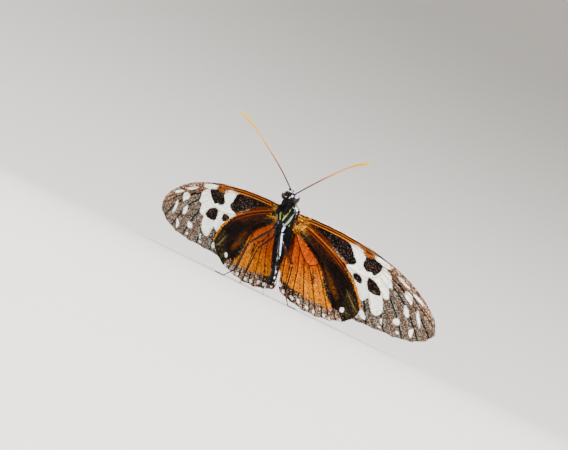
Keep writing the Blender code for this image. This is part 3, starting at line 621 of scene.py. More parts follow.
FRINGE = fur("wing_fringe_scales", ("#0E0A08", "#4A3628"), [("white", 0.05, "#D8D4CA")], 0.6)
ROOT_HAIR = fur("wing_root_hair", ("#7A3E0A", "#DC9A28"), [("rust", 0.05, "#2A1206")], 0.55)


# Building and finishing pieces

def finish(name, mesh, materials, to_world, merge=1e-5):
    """Closes seams, points the faces outwards, moves the mesh to its place in metres and lets it ride."""
    mesh.transform(Matrix.Scale(MM, 4) @ to_world)
    bm = bmesh.new()
    bm.from_mesh(mesh)
    if merge:
        bmesh.ops.remove_doubles(bm, verts=bm.verts, dist=merge * MM)
    bmesh.ops.recalc_face_normals(bm, faces=bm.faces)
    bm.to_mesh(mesh)
    bm.free()
    mesh.name = name
    mesh.shade_smooth()
    for each in materials:
        mesh.materials.append(each)
    made = bpy.data.objects.new(name, mesh)
    bpy.context.collection.objects.link(made)
    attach(made, "root")
    return made


def to_mesh(bm):
    """The mesh of a finished bmesh."""
    mesh = bpy.data.meshes.new("drawn")
    bm.to_mesh(mesh)
    bm.free()
    return mesh


def corners_of(mesh):
    """The place of each vertex."""
    places = np.empty(len(mesh.vertices) * 3)
    mesh.vertices.foreach_get("co", places)
    return places.reshape(-1, 3)


def set_corners(mesh, places):
    """Moves each vertex to its given place."""
    mesh.vertices.foreach_set("co", np.ascontiguousarray(places, np.float32).ravel())
    mesh.update()


def set_value(mesh, name, values):
    """A named value for each vertex, which the materials read."""
    layer = mesh.attributes.new(name, "FLOAT", "POINT")
    layer.data.foreach_set("value", np.ascontiguousarray(values, np.float32))


def set_map(mesh, name, places):
    """A UV map with one place for each vertex."""
    loops = np.empty(len(mesh.loops), np.int32)
    mesh.loops.foreach_get("vertex_index", loops)
    layer = mesh.uv_layers.new(name=name)
    layer.data.foreach_set("uv", np.ascontiguousarray(places[loops], np.float32).ravel())


def roll(rows, columns):
    """A flat grid to be rolled into a tube, with each vertex's share along and angle around."""
    bm = bmesh.new()
    bmesh.ops.create_grid(bm, x_segments=columns, y_segments=rows, size=1.0)
    mesh = to_mesh(bm)
    places = corners_of(mesh)
    return mesh, (places[:, 1] + 1) / 2, (places[:, 0] + 1) * math.pi


def path_frames(points):
    """The tangent, side and up direction at each point of a path, turning as little as they can."""
    tangents = unit(np.gradient(points, axis=0))
    side = np.array((1.0, 0.0, 0.0))
    if abs(tangents[0] @ side) > 0.9:
        side = np.array((0.0, 0.0, 1.0))
    sides = []
    for tangent in tangents:
        side = side - tangent * (side @ tangent)
        side /= np.linalg.norm(side)
        sides.append(side)
    sides = np.array(sides)
    return tangents, sides, np.cross(tangents, sides)


def tube(points, radii, columns, flatness=1.0):
    """A closed limb along points, with a radius at each; both ends close in a pole."""
    points = np.asarray(points, float)
    rows = len(points) - 1
    mesh, share, angle = roll(rows, columns)
    index = np.rint(share * rows).astype(int)
    radii = np.array(radii, float)
    radii[0] = radii[-1] = 0.0
    _, sides, ups = path_frames(points)
    across = np.cos(angle)[:, None] * sides[index] + flatness * np.sin(angle)[:, None] * ups[index]
    set_corners(mesh, points[index] + radii[index][:, None] * across)
    return mesh, share, angle


def join(meshes):
    """One mesh of several, with their attributes and maps."""
    bm = bmesh.new()
    for each in meshes:
        bm.from_mesh(each)
        bpy.data.meshes.remove(each)
    bmesh.ops.recalc_face_normals(bm, faces=bm.faces)
    return to_mesh(bm)


def facing(mesh, direction):
    """How far each vertex faces a direction, from -1 to 1."""
    normals = np.empty(len(mesh.vertices) * 3, np.float32)
    mesh.vertices.foreach_get("normal", normals)
    return normals.reshape(-1, 3) @ (np.array(direction) / np.linalg.norm(direction))


# Tufts

def spikes(count):
    """Count copies of one closed three-sided spike, from its root at z = 0 to its tip at z = 1."""
    bm = bmesh.new()
    bmesh.ops.create_cone(bm, segments=3, cap_ends=True, radius1=1.0, radius2=0.0, depth=1.0,
                          matrix=Matrix.Translation((0, 0, 0.5)))
    bmesh.ops.remove_doubles(bm, verts=bm.verts, dist=1e-4)
    long = [e for e in bm.edges if abs(e.verts[0].co.z - e.verts[1].co.z) > 0.5]
    bmesh.ops.subdivide_edges(bm, edges=long, cuts=1)
    each = len(bm.verts)
    made = 1
    while made < count:
        bmesh.ops.duplicate(bm, geom=bm.verts[:] + bm.edges[:] + bm.faces[:])
        made *= 2
    bm.verts.ensure_lookup_table()
    bmesh.ops.delete(bm, geom=bm.verts[count * each:], context="VERTS")
    mesh = to_mesh(bm)
    return mesh, corners_of(mesh).reshape(count, each, 3)


def coat(roots, out, lie, length, width, curl=0.25):
    """Tufts from roots, between the out and the lie directions, curling down towards the lie."""
    mesh, local = spikes(len(roots))
    lean = unit(out * 0.55 + lie)
    side = np.cross(lean, out)
    side /= np.maximum(np.linalg.norm(side, axis=1), 1e-6)[:, None]
    lift = np.cross(side, lean)
    z = local[:, :, 2:3]
    swell = np.where(z < 0.25, 0.75, 1.0) * width[:, None, None]
    places = (roots[:, None, :] + local[:, :, 0:1] * swell * side[:, None, :]
              + local[:, :, 1:2] * swell * TUFT_FLATNESS * lift[:, None, :]
              + z * length[:, None, None] * lean[:, None, :]
              - z * z * (curl * length)[:, None, None] * lift[:, None, :])
    set_corners(mesh, places.reshape(-1, 3))
    return mesh, local


def dress(mesh, local, values, patches):
    """Gives each tuft its root's markings, a tint of its own and a small patch at its root's place."""
    count, each = local.shape[:2]
    for name, per_root in values.items():
        set_value(mesh, name, np.repeat(per_root, each))
    set_value(mesh, "tint", np.repeat(random.random(count), each))
    patch = patches[:, None, :] + PATCH_HALF * np.stack((local[:, :, 0] + 0.3 * local[:, :, 1],
                                                         local[:, :, 2] * 2 - 1), axis=2)
    set_map(mesh, "OFBake", patch.reshape(-1, 2))


def spread(mesh, density, keep=None):
    """Random points on a mesh's faces: places, face normals, and each point's face and weights."""
    mesh.calc_loop_triangles()
    triangles = np.empty(len(mesh.loop_triangles) * 3, np.int32)
    mesh.loop_triangles.foreach_get("vertices", triangles)
    triangles = triangles.reshape(-1, 3)
    corners = corners_of(mesh)[triangles]
    cross = np.cross(corners[:, 1] - corners[:, 0], corners[:, 2] - corners[:, 0])
    area = np.linalg.norm(cross, axis=1) / 2
    weight = area * (keep(corners.mean(axis=1)) if keep else 1.0) * density
    count = int(weight.sum())
    chosen = random.choice(len(area), count, p=weight / weight.sum())
    a, b = random.random((2, count))
    flip = a + b > 1
    a[flip], b[flip] = 1 - a[flip], 1 - b[flip]
    weights = np.stack((1 - a - b, a, b), axis=1)
    places = (corners[chosen] * weights[:, :, None]).sum(axis=1)
    normals = cross[chosen] / (2 * area[chosen])[:, None]
    return places, normals, triangles[chosen], weights


# Wings

# The hairy zones of a wing's root: the side below (-1) or above (1), the box (left, right, rear, front) in
# the plan, the point the hair fans out from, hairs on each square mm, their length and the brown share
Zone = namedtuple("Zone", "side box source density length brown")

# A pair of wings. The grid has columns outward and rows back. Spots shrink by spot_inset and dark patches
# grow by dark_swell. The outer tone, where brighter partly a painted glow of light through the wing, fades
# in from the root outward, and the stripes of the leading edge fade out over costa, back from the edge, and
# over costa_end, outward
Wing = namedtuple("Wing", "kind outline corners veins marks drop grid spot_inset dark_swell glow costa "
                          "costa_end under upper zones")

FOREWING = Wing("forewing_", FOREWING_OUTLINE, FOREWING_CORNERS, FOREWING_VEINS, FOREWING_MARKS, 0.0,
                (250, 150), 0.1, 0.14, (26.0, 42.0), (1.6, 1.9), (15.0, 21.0), WING_UNDER, WING_UPPER,
                [Zone(-1, (-1.4, 4.6, -3.4, -0.3), (-3.2, -1.0), 24, 1.1, 0.3),
                 Zone(1, (-1.4, 3.6, -4.2, -0.2), (-3.2, -1.2), 22, 1.0, 0.93)])
HINDWING = Wing("hindwing_", HINDWING_OUTLINE, HINDWING_CORNERS, HINDWING_VEINS, HINDWING_MARKS, LAYER_DROP,
                (150, 150), 0.06, 0.0, (11.0, 23.0), (0.9, 1.7), (13.0, 16.5), HIND_UNDER, HIND_UPPER,
                [Zone(-1, (-1.6, 3.6, -5.2, -1.7), (-3.2, -2.5), 22, 0.9, 0.45),
                 Zone(1, (-1.7, 0.6, -20.0, -3.0), (-0.4, 9.0), 20, 0.7, 0.93)])


def wing_edges(wing, columns, rows):
    """The four edges of a wing in the plan: leading, outer margin, inner and root."""
    line = smooth_line(wing.outline, SPAN_STEPS, closed=True)
    ends = np.array([path[-1] for name, path in wing.veins.items() if name not in INNER_VEINS])
    near = np.linalg.norm(line[:, None, :] - ends[None], axis=2).min(axis=1)
    inward = unit(line.mean(axis=0) - line)
    notch = SCALLOP_DEPTH * np.clip(near / 1.6, 0, 1) * (line[:, 1] < -8) * (near < 4.5)
    line = line + inward * notch[:, None]
    tip, rear = (c * SPAN_STEPS for c in wing.corners)
    root = (len(wing.outline) - 1) * SPAN_STEPS
    leading = resample(line[:tip + 1], columns + 1)
    margin = resample(line[tip:rear + 1], rows + 1)
    inner = resample(line[rear:root + 1][::-1], columns + 1)
    hinge = resample(np.vstack((line[root:], line[:1]))[::-1], rows + 1)
    return leading, margin, inner, hinge


def wing_sheet(wing):
    """A closed two-layer sheet, with each vertex's plan and fan place and its layer, the vertices of the
    rim, and the leading, outer and inner edges."""
    columns, rows = (int(count * FINENESS) for count in wing.grid)
    bm = bmesh.new()
    bmesh.ops.create_grid(bm, x_segments=columns, y_segments=rows, size=1.0)
    bmesh.ops.solidify(bm, geom=bm.faces[:], thickness=1.0)
    mesh = to_mesh(bm)
    flat = corners_of(mesh)
    layer = np.where(flat[:, 2] > flat[:, 2].mean(), 1.0, -1.0)
    leading, margin, inner, hinge = wing_edges(wing, columns, rows)
    i = np.rint((flat[:, 0] + 1) / 2 * columns).astype(int)
    j = np.rint((1 - flat[:, 1]) / 2 * rows).astype(int)
    s, t = (i / columns)[:, None], (j / rows)[:, None]
    plan = ((1 - t) * leading[i] + t * inner[i] + (1 - s) * hinge[j] + s * margin[j]
            - (1 - s) * (1 - t) * leading[0] - (1 - s) * t * inner[0]
            - s * (1 - t) * leading[-1] - s * t * inner[-1])
    rim = np.minimum(np.minimum(i, columns - i), np.minimum(j, rows - j)) == 0
    return mesh, plan, np.hstack((s, t)), layer, rim, (leading, margin, inner)


def wing_surface(plan, offset, drop, sign):
    """From plan coordinates to the body frame. The hindwing's inner edge folds up over the abdomen."""
    u, v = plan[:, 0], plan[:, 1]
    if drop:
        offset = offset + (FOLD_LIFT * (1 - fade(u, -0.6, 1.3)) * fade(-v, 4.2, 6.0)
                           * (1 - 0.9 * fade(-v, 7.5, 16.0)))
    height = u * math.sin(DIHEDRAL) - TIP_DROOP * u * np.abs(u) - v * math.sin(WING_PITCH)
    return np.stack((sign * (HINGE[0] + u * math.cos(DIHEDRAL)), HINGE[1] - v * math.cos(WING_PITCH),
                     HINGE[2] + height + offset - drop), axis=1)


def wing_relief(plan, lines, closed):
    """Distances to the two nearest veins and to the edge, the rise over a vein and the sheet's waves."""
    reach = np.sort(np.array([distance_to_line(plan, line) for line in lines]), axis=0)
    edge = distance_to_line(plan, closed)
    ridge = VEIN_RISE * np.clip(1 - (reach[0] / VEIN_HALF / 1.6) ** 2, 0, 1) * np.clip(edge / 1.2, 0, 1)
    pleat = PLEAT * (fade(reach[0], 0, 1.5) - 0.5) * fade(edge, 0.3, 3.0)
    ripple = 0.05 * np.sin(plan[:, 0] * 1.9 + plan[:, 1] * 2.3) * (1 - fade(edge, 0, 1.5))
    return reach, edge, ridge, pleat + ripple


def nestle(wing):
    """How far the wings of a kind settle against those of the other kind."""
    return NESTLE if wing.drop else -NESTLE


def lay_hair(name, material, to_body, side, plan, heading, length, width, values, patches, lift):
    """Hair rooted at plan places, with to_body their way into the body frame, lying along the headings."""
    roots = to_body(plan)
    ahead = to_body(plan + 0.01 * heading) - roots
    aside = to_body(plan + 0.01 * heading[:, ::-1] * (1, -1)) - roots
    out = np.cross(ahead, aside)
    out *= (np.sign(out[:, 2]) * side / np.linalg.norm(out, axis=1))[:, None]
    mesh, local = coat(roots, out * lift, unit(ahead), length, np.full(len(plan), width), 0.12)
    dress(mesh, local, values, patches)
    finish(name, mesh, (material,), BODY_TO_WORLD, merge=0)


def make_root_hair(wing, name, sign, lines, closed):
    """Golden and brown hair over a wing's root, below and above, fanning out from the hinge."""
    parts = []
    for zone in wing.zones:
        left, right, low, high = zone.box
        count = int((right - left) * (high - low) * zone.density * FINENESS)
        plan = np.stack((random.uniform(left, right, count), random.uniform(low, high, count)), axis=1)
        thin = random.random(count) > fade(plan[:, 0], left + 0.3 * (right - left), right)
        plan = plan[thin & (depth_outside(plan, wing.outline) < -0.2)]
        count = len(plan)
        heading = unit(plan - zone.source) + random.normal(0, 0.16, plan.shape)
        brown = np.where(random.random(count) < zone.brown, -1.0, 1.0)
        patches = 0.02 + 0.44 * (plan - (left, low)) / (right - left, high - low)
        patches += 0.0 if zone.side < 0 else 0.5
        parts.append((np.full(count, zone.side), plan, heading, random.uniform(0.6, 1.2, count) * zone.length,
                      brown, patches))
    side, plan, heading, length, brown, patches = (np.concatenate(each) for each in zip(*parts))

    def to_body(at):
        wave = wing_relief(at, lines, closed)[3]
        return wing_surface(at, wave + nestle(wing) + side * 0.05, wing.drop, sign)

    lay_hair(name, ROOT_HAIR, to_body, side, plan, heading, length, ROOT_HAIR_WIDTH, {"rust": brown},
             patches, 0.45)


def make_fringe(wing, name, sign, lines, closed, margin):
    """Short hair scales that stand out from a wing's outer margin, white between the veins."""
    length = np.linalg.norm(np.diff(margin, axis=0), axis=1).sum()
    line = resample(margin, int(length * FINENESS / FRINGE_SPACING))[2:-2]
    along = unit(np.gradient(line, axis=0))
    outward = np.stack((-along[:, 1], along[:, 0]), axis=1)
    outward *= np.sign(((line - closed.mean(axis=0)) * outward).sum(axis=1))[:, None]
    count = len(line)
    heading = outward + along * random.normal(0, 0.16, count)[:, None]
    reach = wing_relief(line, lines, closed)[0]
    white = np.where((reach[0] > 0.7) & (random.random(count) < 0.8), -1.0, 1.0)
    side = np.where(random.random(count) < 0.5, -1.0, 1.0)
    patches = np.stack((np.linspace(0.02, 0.98, count), random.uniform(0.45, 0.55, count)), axis=1)

    def to_body(at):
        return wing_surface(at, wing_relief(at, lines, closed)[3] + nestle(wing), wing.drop, sign)

    lay_hair(name, FRINGE, to_body, side, line - outward * 0.06, heading,
             random.uniform(*FRINGE_LENGTH, count), FRINGE_WIDTH, {"white": white}, patches, 0.12)


def make_wing_pair(wing):
    """The left and the right wing of a kind, each with its hair and its fringe."""
    mesh, plan, fan, layer, rim, (leading, margin, inner) = wing_sheet(wing)
    lines = [smooth_line(path, 6) for path in wing.veins.values()]
    closed = np.vstack((leading, margin, inner[::-1]))
    reach, edge, ridge, wave = wing_relief(plan, lines, closed)
    values = {"vein": reach[0], "between": reach[1] - reach[0]}
    for name in ("orange", "gold", "rust", "band", "pale", "tan", "dark", "spots"):
        shapes = wing.marks.get(name, [])
        values[name] = np.min([depth_outside(plan, s) for s in shapes] + [np.full(len(plan), 9.0)], axis=0)
    values["high_spots"] = values["spots"] + UPPER_SPOT_INSET
    values["spots"] = values["spots"] + wing.spot_inset
    values["dark"] = values["dark"] - wing.dark_swell
    # The outer tone and painted glow: 0 at the root, 1 far out
    values["glow"] = fade(np.hypot(plan[:, 0], plan[:, 1]), *wing.glow)
    near_margin = np.maximum(values["band"], edge - FROST_DEPTH)
    values["frost"] = np.maximum(near_margin, (3.2 - plan[:, 0]) * 0.6)
    values["lead"] = distance_to_line(plan, leading)
    values["on_lead"] = (1 - fade(values["lead"], *wing.costa)) * (1 - fade(plan[:, 0], *wing.costa_end))
    half = (MEMBRANE_EDGE + (MEMBRANE - MEMBRANE_EDGE) * fade(edge, 0, 0.5)) / 2
    half = np.where(rim, MEMBRANE_EDGE / 2, half + ridge)
    for name, sign in SIDES:
        one = mesh.copy()
        set_corners(one, wing_surface(plan, layer * half + wave + nestle(wing), wing.drop, sign))
        for key, value in values.items():
            set_value(one, key, value)
        set_map(one, "WingPlan", plan / PLAN_UNIT + (2.0 if sign < 0 else 1.0))
        set_map(one, "WingFan", fan)
        first = np.empty(len(one.polygons), np.int32)
        one.polygons.foreach_get("loop_start", first)
        loops = np.empty(len(one.loops), np.int32)
        one.loops.foreach_get("vertex_index", loops)
        one.polygons.foreach_set("material_index", (layer[loops[first]] > 0).astype(np.int32))
        piece = finish(wing.kind + name + "_scales", one, (wing.under, wing.upper), BODY_TO_WORLD,
                       merge=0)
        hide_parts(wing.kind + name)
        make_root_hair(wing, wing.kind + name + "_root_hair", sign, lines, closed)
        make_fringe(wing, wing.kind + name + "_fringe", sign, lines, closed, margin)
    bpy.data.meshes.remove(mesh)


# Trunk: head, thorax and abdomen in one skin

BODY_LINES = {
    "cream": [
        (0.13, [(1.3, -4.1, 0.2), (1.2, -3.4, -0.9), (0.9, -2.4, -1.9), (0.3, -0.6, -2.6)]),
        (0.09, [(0.45, -3.3, -1.5), (0.42, -1.8, -2.4), (0.4, -0.2, -2.65)]),
        (0.14, [(2.05, 0.25, -1.37), (1.6, 1.8, -1.5)]),
        (0.14, [(1.6, 2.6, -1.2), (1.0, 3.6, -1.1)]),
        (0.12, [(1.5, -3.0, 1.6), (1.9, -1.6, 2.0), (1.5, 0.6, 2.3)]),
        (0.12, [(0.5, -4.5, 1.0), (0.75, -4.5, 0.75)]),
    ],
    "sage": [(0.3, [(2.0, -2.5, -0.3), (2.05, -1.8, -1.0), (1.6, -0.4, -1.9), (0.9, 0.7, -2.4)])],
    "white": [
        (0.24, [(1.3, -4.0, 0.45), (1.75, -3.1, 0.2), (2.1, -2.6, 0.0)]),
        (0.26, [(1.6, -3.9, 0.5), (2.2, -3.3, 0.6)]),
        (0.2, [(0.2, 0.0, -2.7), (0.25, 0.2, -2.7)]),
        (0.2, [(0.75, 0.1, -2.6), (0.8, 0.2, -2.55)]),
        (0.2, [(0.35, 1.4, -2.4), (0.4, 1.6, -2.3)]),
        (0.2, [(0.5, 2.5, -1.9), (0.55, 2.7, -1.8)]),
        (0.17, [(0.3, -7.2, 0.75), (0.42, -7.1, 0.95)]),
        (0.14, [(0.7, -6.9, -0.35), (0.78, -6.8, -0.6)]),
        (0.16, [(0.9, -5.4, -0.9), (0.95, -5.2, -0.9)]),
        (0.13, [(0.62, -5.3, 1.25), (0.9, -5.25, 1.05)]),
    ],
    "amber": [(0.12, [(0.1, -7.3, -0.3), (0.12, -7.3, 0.4)])],
}


def body_marks(places):
    """How far each point of the trunk is from the pale lines and spots, negative on them."""
    mirrored = np.abs(places * (1, 0, 0)) + places * (0, 1, 1)
    made = {}
    for name, lines in BODY_LINES.items():
        made[name] = np.min([distance_to_line(mirrored, np.array(line, float)) - half
                             for half, line in lines], axis=0)
    y = places[:, 1]
    along = np.clip((y - ABDOMEN_START) / (ABDOMEN_END - ABDOMEN_START), 0, 1)
    in_segment = (along * ABDOMEN_SEGMENTS) % 1.0
    centre = np.stack((np.zeros(len(y)), y, ABDOMEN_Z - ABDOMEN_DROOP * along ** 2), axis=1)
    out = places - centre
    angle = np.degrees(np.arctan2(-out[:, 2], np.abs(out[:, 0])))
    dot = np.hypot((in_segment - 0.55) * 1.75, (angle - 48) / 24) - 0.42
    flank = np.hypot((in_segment - 0.5) * 1.2, (angle + 2) / 30) - 0.75
    on_abdomen = y > ABDOMEN_START
    made["white"] = np.minimum(made["white"], np.where(on_abdomen & (along < 0.93), dot, 9))
    made["rust"] = np.where(on_abdomen, flank, 9)
    return made


def trunk_stations():
    """Even stations along the trunk: y, z, half width and half height, with the abdomen's grooves."""
    front = smooth_line(TRUNK_PROFILE, 10)
    rows = []
    for i in range(ABDOMEN_SEGMENTS * SEGMENT_STEPS + 1):
        s = i / (ABDOMEN_SEGMENTS * SEGMENT_STEPS)
        waist = 0.72 + 0.28 * fade(s, 0.0, 0.2)
        taper = math.sqrt(max(0.0, 1 - max(0.0, (s - 0.35) / 0.72) ** 2))
        seam = (s * ABDOMEN_SEGMENTS) % 1.0
        groove = SEGMENT_GROOVE * (math.exp(-(seam / 0.1) ** 2) + math.exp(-((seam - 1) / 0.22) ** 2))
        radius = ABDOMEN_RADIUS * waist * taper - groove * (0.02 < s < 0.97)
        rows.append((ABDOMEN_START + s * (ABDOMEN_END - ABDOMEN_START), ABDOMEN_Z - ABDOMEN_DROOP * s * s,
                     radius, radius * 1.06))
    rows.append((ABDOMEN_END + 0.02, ABDOMEN_Z - ABDOMEN_DROOP, 0.03, 0.03))
    return np.vstack((front, rows))


def shoulder_plates():
    """The scaled plates over the wings' hinges, with each vertex's place on the hair's map."""
    plates, maps = [], []
    curve = smooth_line([(1.45, -3.85, 0.62), (1.95, -3.2, 0.85), (2.25, -2.3, 1.25), (2.3, -1.4, 1.6)], 8)
    along = np.linspace(0, 1, 25)
    radius = 0.5 * np.sqrt(np.clip(1 - (2 * along - 1) ** 2, 0, 1))
    for _, sign in SIDES:
        plate, share, angle = tube(resample(curve * (sign, 1, 1), len(along)), radius, 24, 1.15)
        plates.append(plate)
        maps.append(np.stack((0.02 + 0.46 * angle / (2 * math.pi) + (0.5 if sign < 0 else 0.0),
                              0.86 + 0.12 * share), axis=1))
    return plates, maps


def make_trunk():
    """The skin of the head, thorax and abdomen, with the shoulder plates joined in, and its hair."""
    stations = trunk_stations()
    rows = len(stations) - 1
    mesh, share, angle = roll(rows, int(112 * FINENESS))
    at = stations[np.rint(share * rows).astype(int)]
    closed = (share > 1e-6) & (share < 1 - 1e-6)
    across, high = np.cos(angle), np.sin(angle)
    places = np.stack((at[:, 2] * across * closed, at[:, 0], at[:, 1] + at[:, 3] * high * closed), axis=1)
    # Furrows between the thorax's plates, and the sockets of the hips
    thorax = fade(at[:, 0], -4.0, -3.0) * (1 - fade(at[:, 0], 3.0, 4.0))
    furrow = np.exp(-((at[:, 0] - 0.9 + 0.5 * high) / 0.22) ** 2) + np.exp(-((at[:, 0] + 2.6) / 0.2) ** 2)
    inward = 1 - 0.045 * thorax * furrow - 0.05 * thorax * np.exp(-((high + 1) / 0.02))
    places[:, 0] *= inward
    places[:, 2] = at[:, 1] + (places[:, 2] - at[:, 1]) * inward
    set_corners(mesh, places)
    plates, maps = shoulder_plates()
    mesh = join([mesh] + plates)
    places = corners_of(mesh)
    for name, value in body_marks(places).items():
        set_value(mesh, name, value)
    set_value(mesh, "tint", np.full(len(places), 0.2))
    skin_map = np.stack((0.02 + 0.96 * angle / (2 * math.pi), 0.02 + 0.8 * share), axis=1)
    skin_map = np.vstack([skin_map] + maps)
    set_map(mesh, "OFBake", skin_map)
    drawn = mesh.copy()
    piece = finish("trunk_skin", mesh, (BODY_FUR,), BODY_TO_WORLD)
    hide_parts("thorax", "abdomen", "head")
    make_trunk_fur(drawn, skin_map)


def make_trunk_fur(skin, skin_map):
    """Hair on the head and thorax and short scales on the abdomen, all lying towards the tail."""
    def near_pale(marks):
        return np.min([marks[key] for key in ("cream", "sage", "white")], axis=0) < 0.25

    def thick(places):
        y = places[:, 1]
        near = near_pale(body_marks(places))
        return np.where(y > 4.2, 0.9, np.where(y < HEAD_END, 1.5, np.where(near, 2.2, 1.0)))

    places, normals, owners, weights = spread(skin, TRUNK_HAIR_DENSITY * FINENESS, thick)
    y = places[:, 1]
    middle = np.stack((np.zeros(len(y)), y, 0.1 - 0.03 * y), axis=1)
    outward = np.sign((normals * (places - middle)).sum(axis=1))
    normals = normals * np.where(outward == 0, 1, outward)[:, None]
    eyes = np.min([np.linalg.norm((places - (sign * EYE_PLACE[0], *EYE_PLACE[1:])) / EYE_RADII, axis=1)
                   for _, sign in SIDES], axis=0)
    keep = eyes > 1.02
    places, normals, owners, weights = places[keep], normals[keep], owners[keep], weights[keep]
    y = places[:, 1]
    noise = random.normal(0, 1, (3, len(y)))
    lie = np.array((0.0, 1.0, 0.0)) + 0.22 * noise.T
    on_head, on_abdomen = y < HEAD_END, y > 4.4
    lie[on_head] += np.array((0.0, -0.9, 0.5)) * (y[on_head] < -6.2)[:, None]
    lie = unit(lie - normals * (lie * normals).sum(axis=1)[:, None])
    length = np.where(on_abdomen, ABDOMEN_HAIR, np.where(on_head, HEAD_HAIR, THORAX_HAIR))
    length = length * random.uniform(0.6, 1.25, len(y))
    width = np.where(on_abdomen, 0.075, 0.05) * random.uniform(0.7, 1.3, len(y))
    # The hair is finer beside the thorax's pale lines, so that their edges stay sharp
    marks = body_marks(places)
    fine = near_pale(marks) & ~on_abdomen & ~on_head
    length = np.where(fine, length * 0.5, length)
    width = np.where(fine, width * 0.8, width)
    mesh, local = coat(places - normals * 0.05, normals * np.where(on_abdomen, 0.25, 0.7)[:, None], lie,
                       length, width)
    dress(mesh, local, marks, (skin_map[owners] * weights[:, :, None]).sum(axis=1))
    finish("trunk_fur", mesh, (BODY_FUR,), BODY_TO_WORLD, merge=0)
    bpy.data.meshes.remove(skin)


# Eyes

def eye_material():
    """A compound eye: dark horny facets, a broad bluish painted glare in front and a brown back rim, partly a
    painted edge sheen.
    """
    made, tree, shader = start_material("compound_eye_cuticle", Specular_IOR_Level=0.25, Coat_Weight=0.3,
                                        Coat_Roughness=0.05, IOR=1.5, Sheen_Weight=0.18,
                                        Sheen_Roughness=0.2)
    shader.inputs["Specular Tint"].default_value = linear("#D6DEFF")
    shader.inputs["Sheen Tint"].default_value = linear("#F0B49C")
    place = node(tree, "ShaderNodeTexCoord")
    # Facets of 0.09 mm, three times the real ones so that they show
    facets = node(tree, "ShaderNodeTexVoronoi", {"Vector": place.outputs["Object"], "Scale": 11000.0})
    bands = node(tree, "ShaderNodeTexNoise", {"Vector": place.outputs["Object"], "Scale": 900.0,
                                              "Detail": 2.0})
    rim, brow = (node(tree, "ShaderNodeAttribute", attribute_name=each) for each in ("rim", "brow"))
    dark = node(tree, "ShaderNodeMix", {0: bands.outputs["Fac"], 6: linear("#050203"),
                                        7: linear("#1E0E0C")}, data_type="RGBA")
    patchy = node(tree, "ShaderNodeMapRange", {0: bands.outputs["Fac"], 1: 0.35, 2: 0.6, 3: 0.35, 4: 1.0})
    # Painted glare: bluish white mixed into the colour on the front of the eye, broken up by the bands
    painted_glare_mask = node(tree, "ShaderNodeMath", {0: brow.outputs["Fac"], 1: patchy.outputs[0]},
                 operation="MULTIPLY")
    glare = node(tree, "ShaderNodeMix", {0: painted_glare_mask.outputs[0], 6: dark.outputs[2],
                                         7: linear("#E2E8FF")}, data_type="RGBA")
    # Brown back rim: partly the eye's own brown, partly a painted edge sheen
    colour = node(tree, "ShaderNodeMix", {0: rim.outputs["Fac"], 6: glare.outputs[2],
                                          7: linear("#A4604C")}, data_type="RGBA")
    bump = node(tree, "ShaderNodeBump", {"Height": facets.outputs["Distance"], "Strength": 0.3,
                                         "Distance": 0.00003})
    shine = node(tree, "ShaderNodeMapRange", {0: bands.outputs["Fac"], 3: 0.22, 4: 0.34})
    wire(tree, shader, colour.outputs[2], bump.outputs[0], shine.outputs[0])
    return made


def make_eyes():
    """Two ellipsoids, each with a bluish glare painted in front and a brown rim behind that is partly a
    painted edge sheen.
    """
    look = eye_material()
    for name, sign in SIDES:
        bm = bmesh.new()
        bmesh.ops.create_uvsphere(bm, u_segments=64, v_segments=40, radius=1.0)
        mesh = to_mesh(bm)
        ball = corners_of(mesh)
        # The rim on the eye's outer back, partly brown cuticle and partly a painted edge sheen
        outer = ball @ np.array((sign * 0.8, 0.6, -0.1))
        set_value(mesh, "rim", 0.9 * fade(outer, 0.72, 0.86) * (1 - fade(outer, 0.93, 0.99)))
        # Where the painted glare lies: the eye's front, facing forwards and down
        front = ball @ np.array((sign * 0.2, -0.94, -0.28))
        set_value(mesh, "brow", 0.95 * fade(front, 0.8, 0.95))
        size = Matrix.Diagonal((*EYE_RADII, 1.0))
        place = Matrix.Translation((sign * EYE_PLACE[0], *EYE_PLACE[1:]))
        mesh.transform(place @ Matrix.Rotation(sign * EYE_TILT, 4, "Y") @ size)
        piece = finish("eye_" + name + "_facets", mesh, (look,), BODY_TO_WORLD)
        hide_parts("eye_" + name)


# Antennae

def antenna_material():
    """Ringed chitin under fine scales: black at the root, rust in the middle, yellow to the club."""
    made, tree, shader = start_material("antenna_scaled_chitin", Specular_IOR_Level=0.06, IOR=1.55)
    along, ring = (node(tree, "ShaderNodeAttribute", attribute_name=each) for each in ("along", "ring"))
    shade = node(tree, "ShaderNodeValToRGB", {0: along.outputs["Fac"]})
    set_stops(shade.color_ramp, [(0.0, "#08070B"), (0.12, "#140C0C"), (0.22, "#3E1606"), (0.34, "#6E2A04"),
                                 (0.44, "#9A5202"), (0.54, "#B87C00"), (0.66, "#C49400"), (0.9, "#C89C00"),
                                 (1.0, "#CCAA10")])
    dark = node(tree, "ShaderNodeMapRange", {0: ring.outputs["Fac"], 1: 0.5, 2: 1.0, 3: 1.0, 4: 0.45})
    final = node(tree, "ShaderNodeVectorMath", {0: shade.outputs[0], "Scale": dark.outputs[0]},
                 operation="SCALE")
    place = node(tree, "ShaderNodeTexCoord")
    # Grain of about 0.1 mm, the size of one scale
    grain = node(tree, "ShaderNodeTexNoise", {"Vector": place.outputs["Object"], "Scale": 9000.0})
    bump = node(tree, "ShaderNodeBump", {"Height": grain.outputs["Fac"], "Strength": 0.3,
                                         "Distance": 0.00003})
    shine = node(tree, "ShaderNodeMapRange", {0: grain.outputs["Fac"], 3: 0.35, 4: 0.6})
    wire(tree, shader, final.outputs[0], bump.outputs[0], shine.outputs[0])
    return made


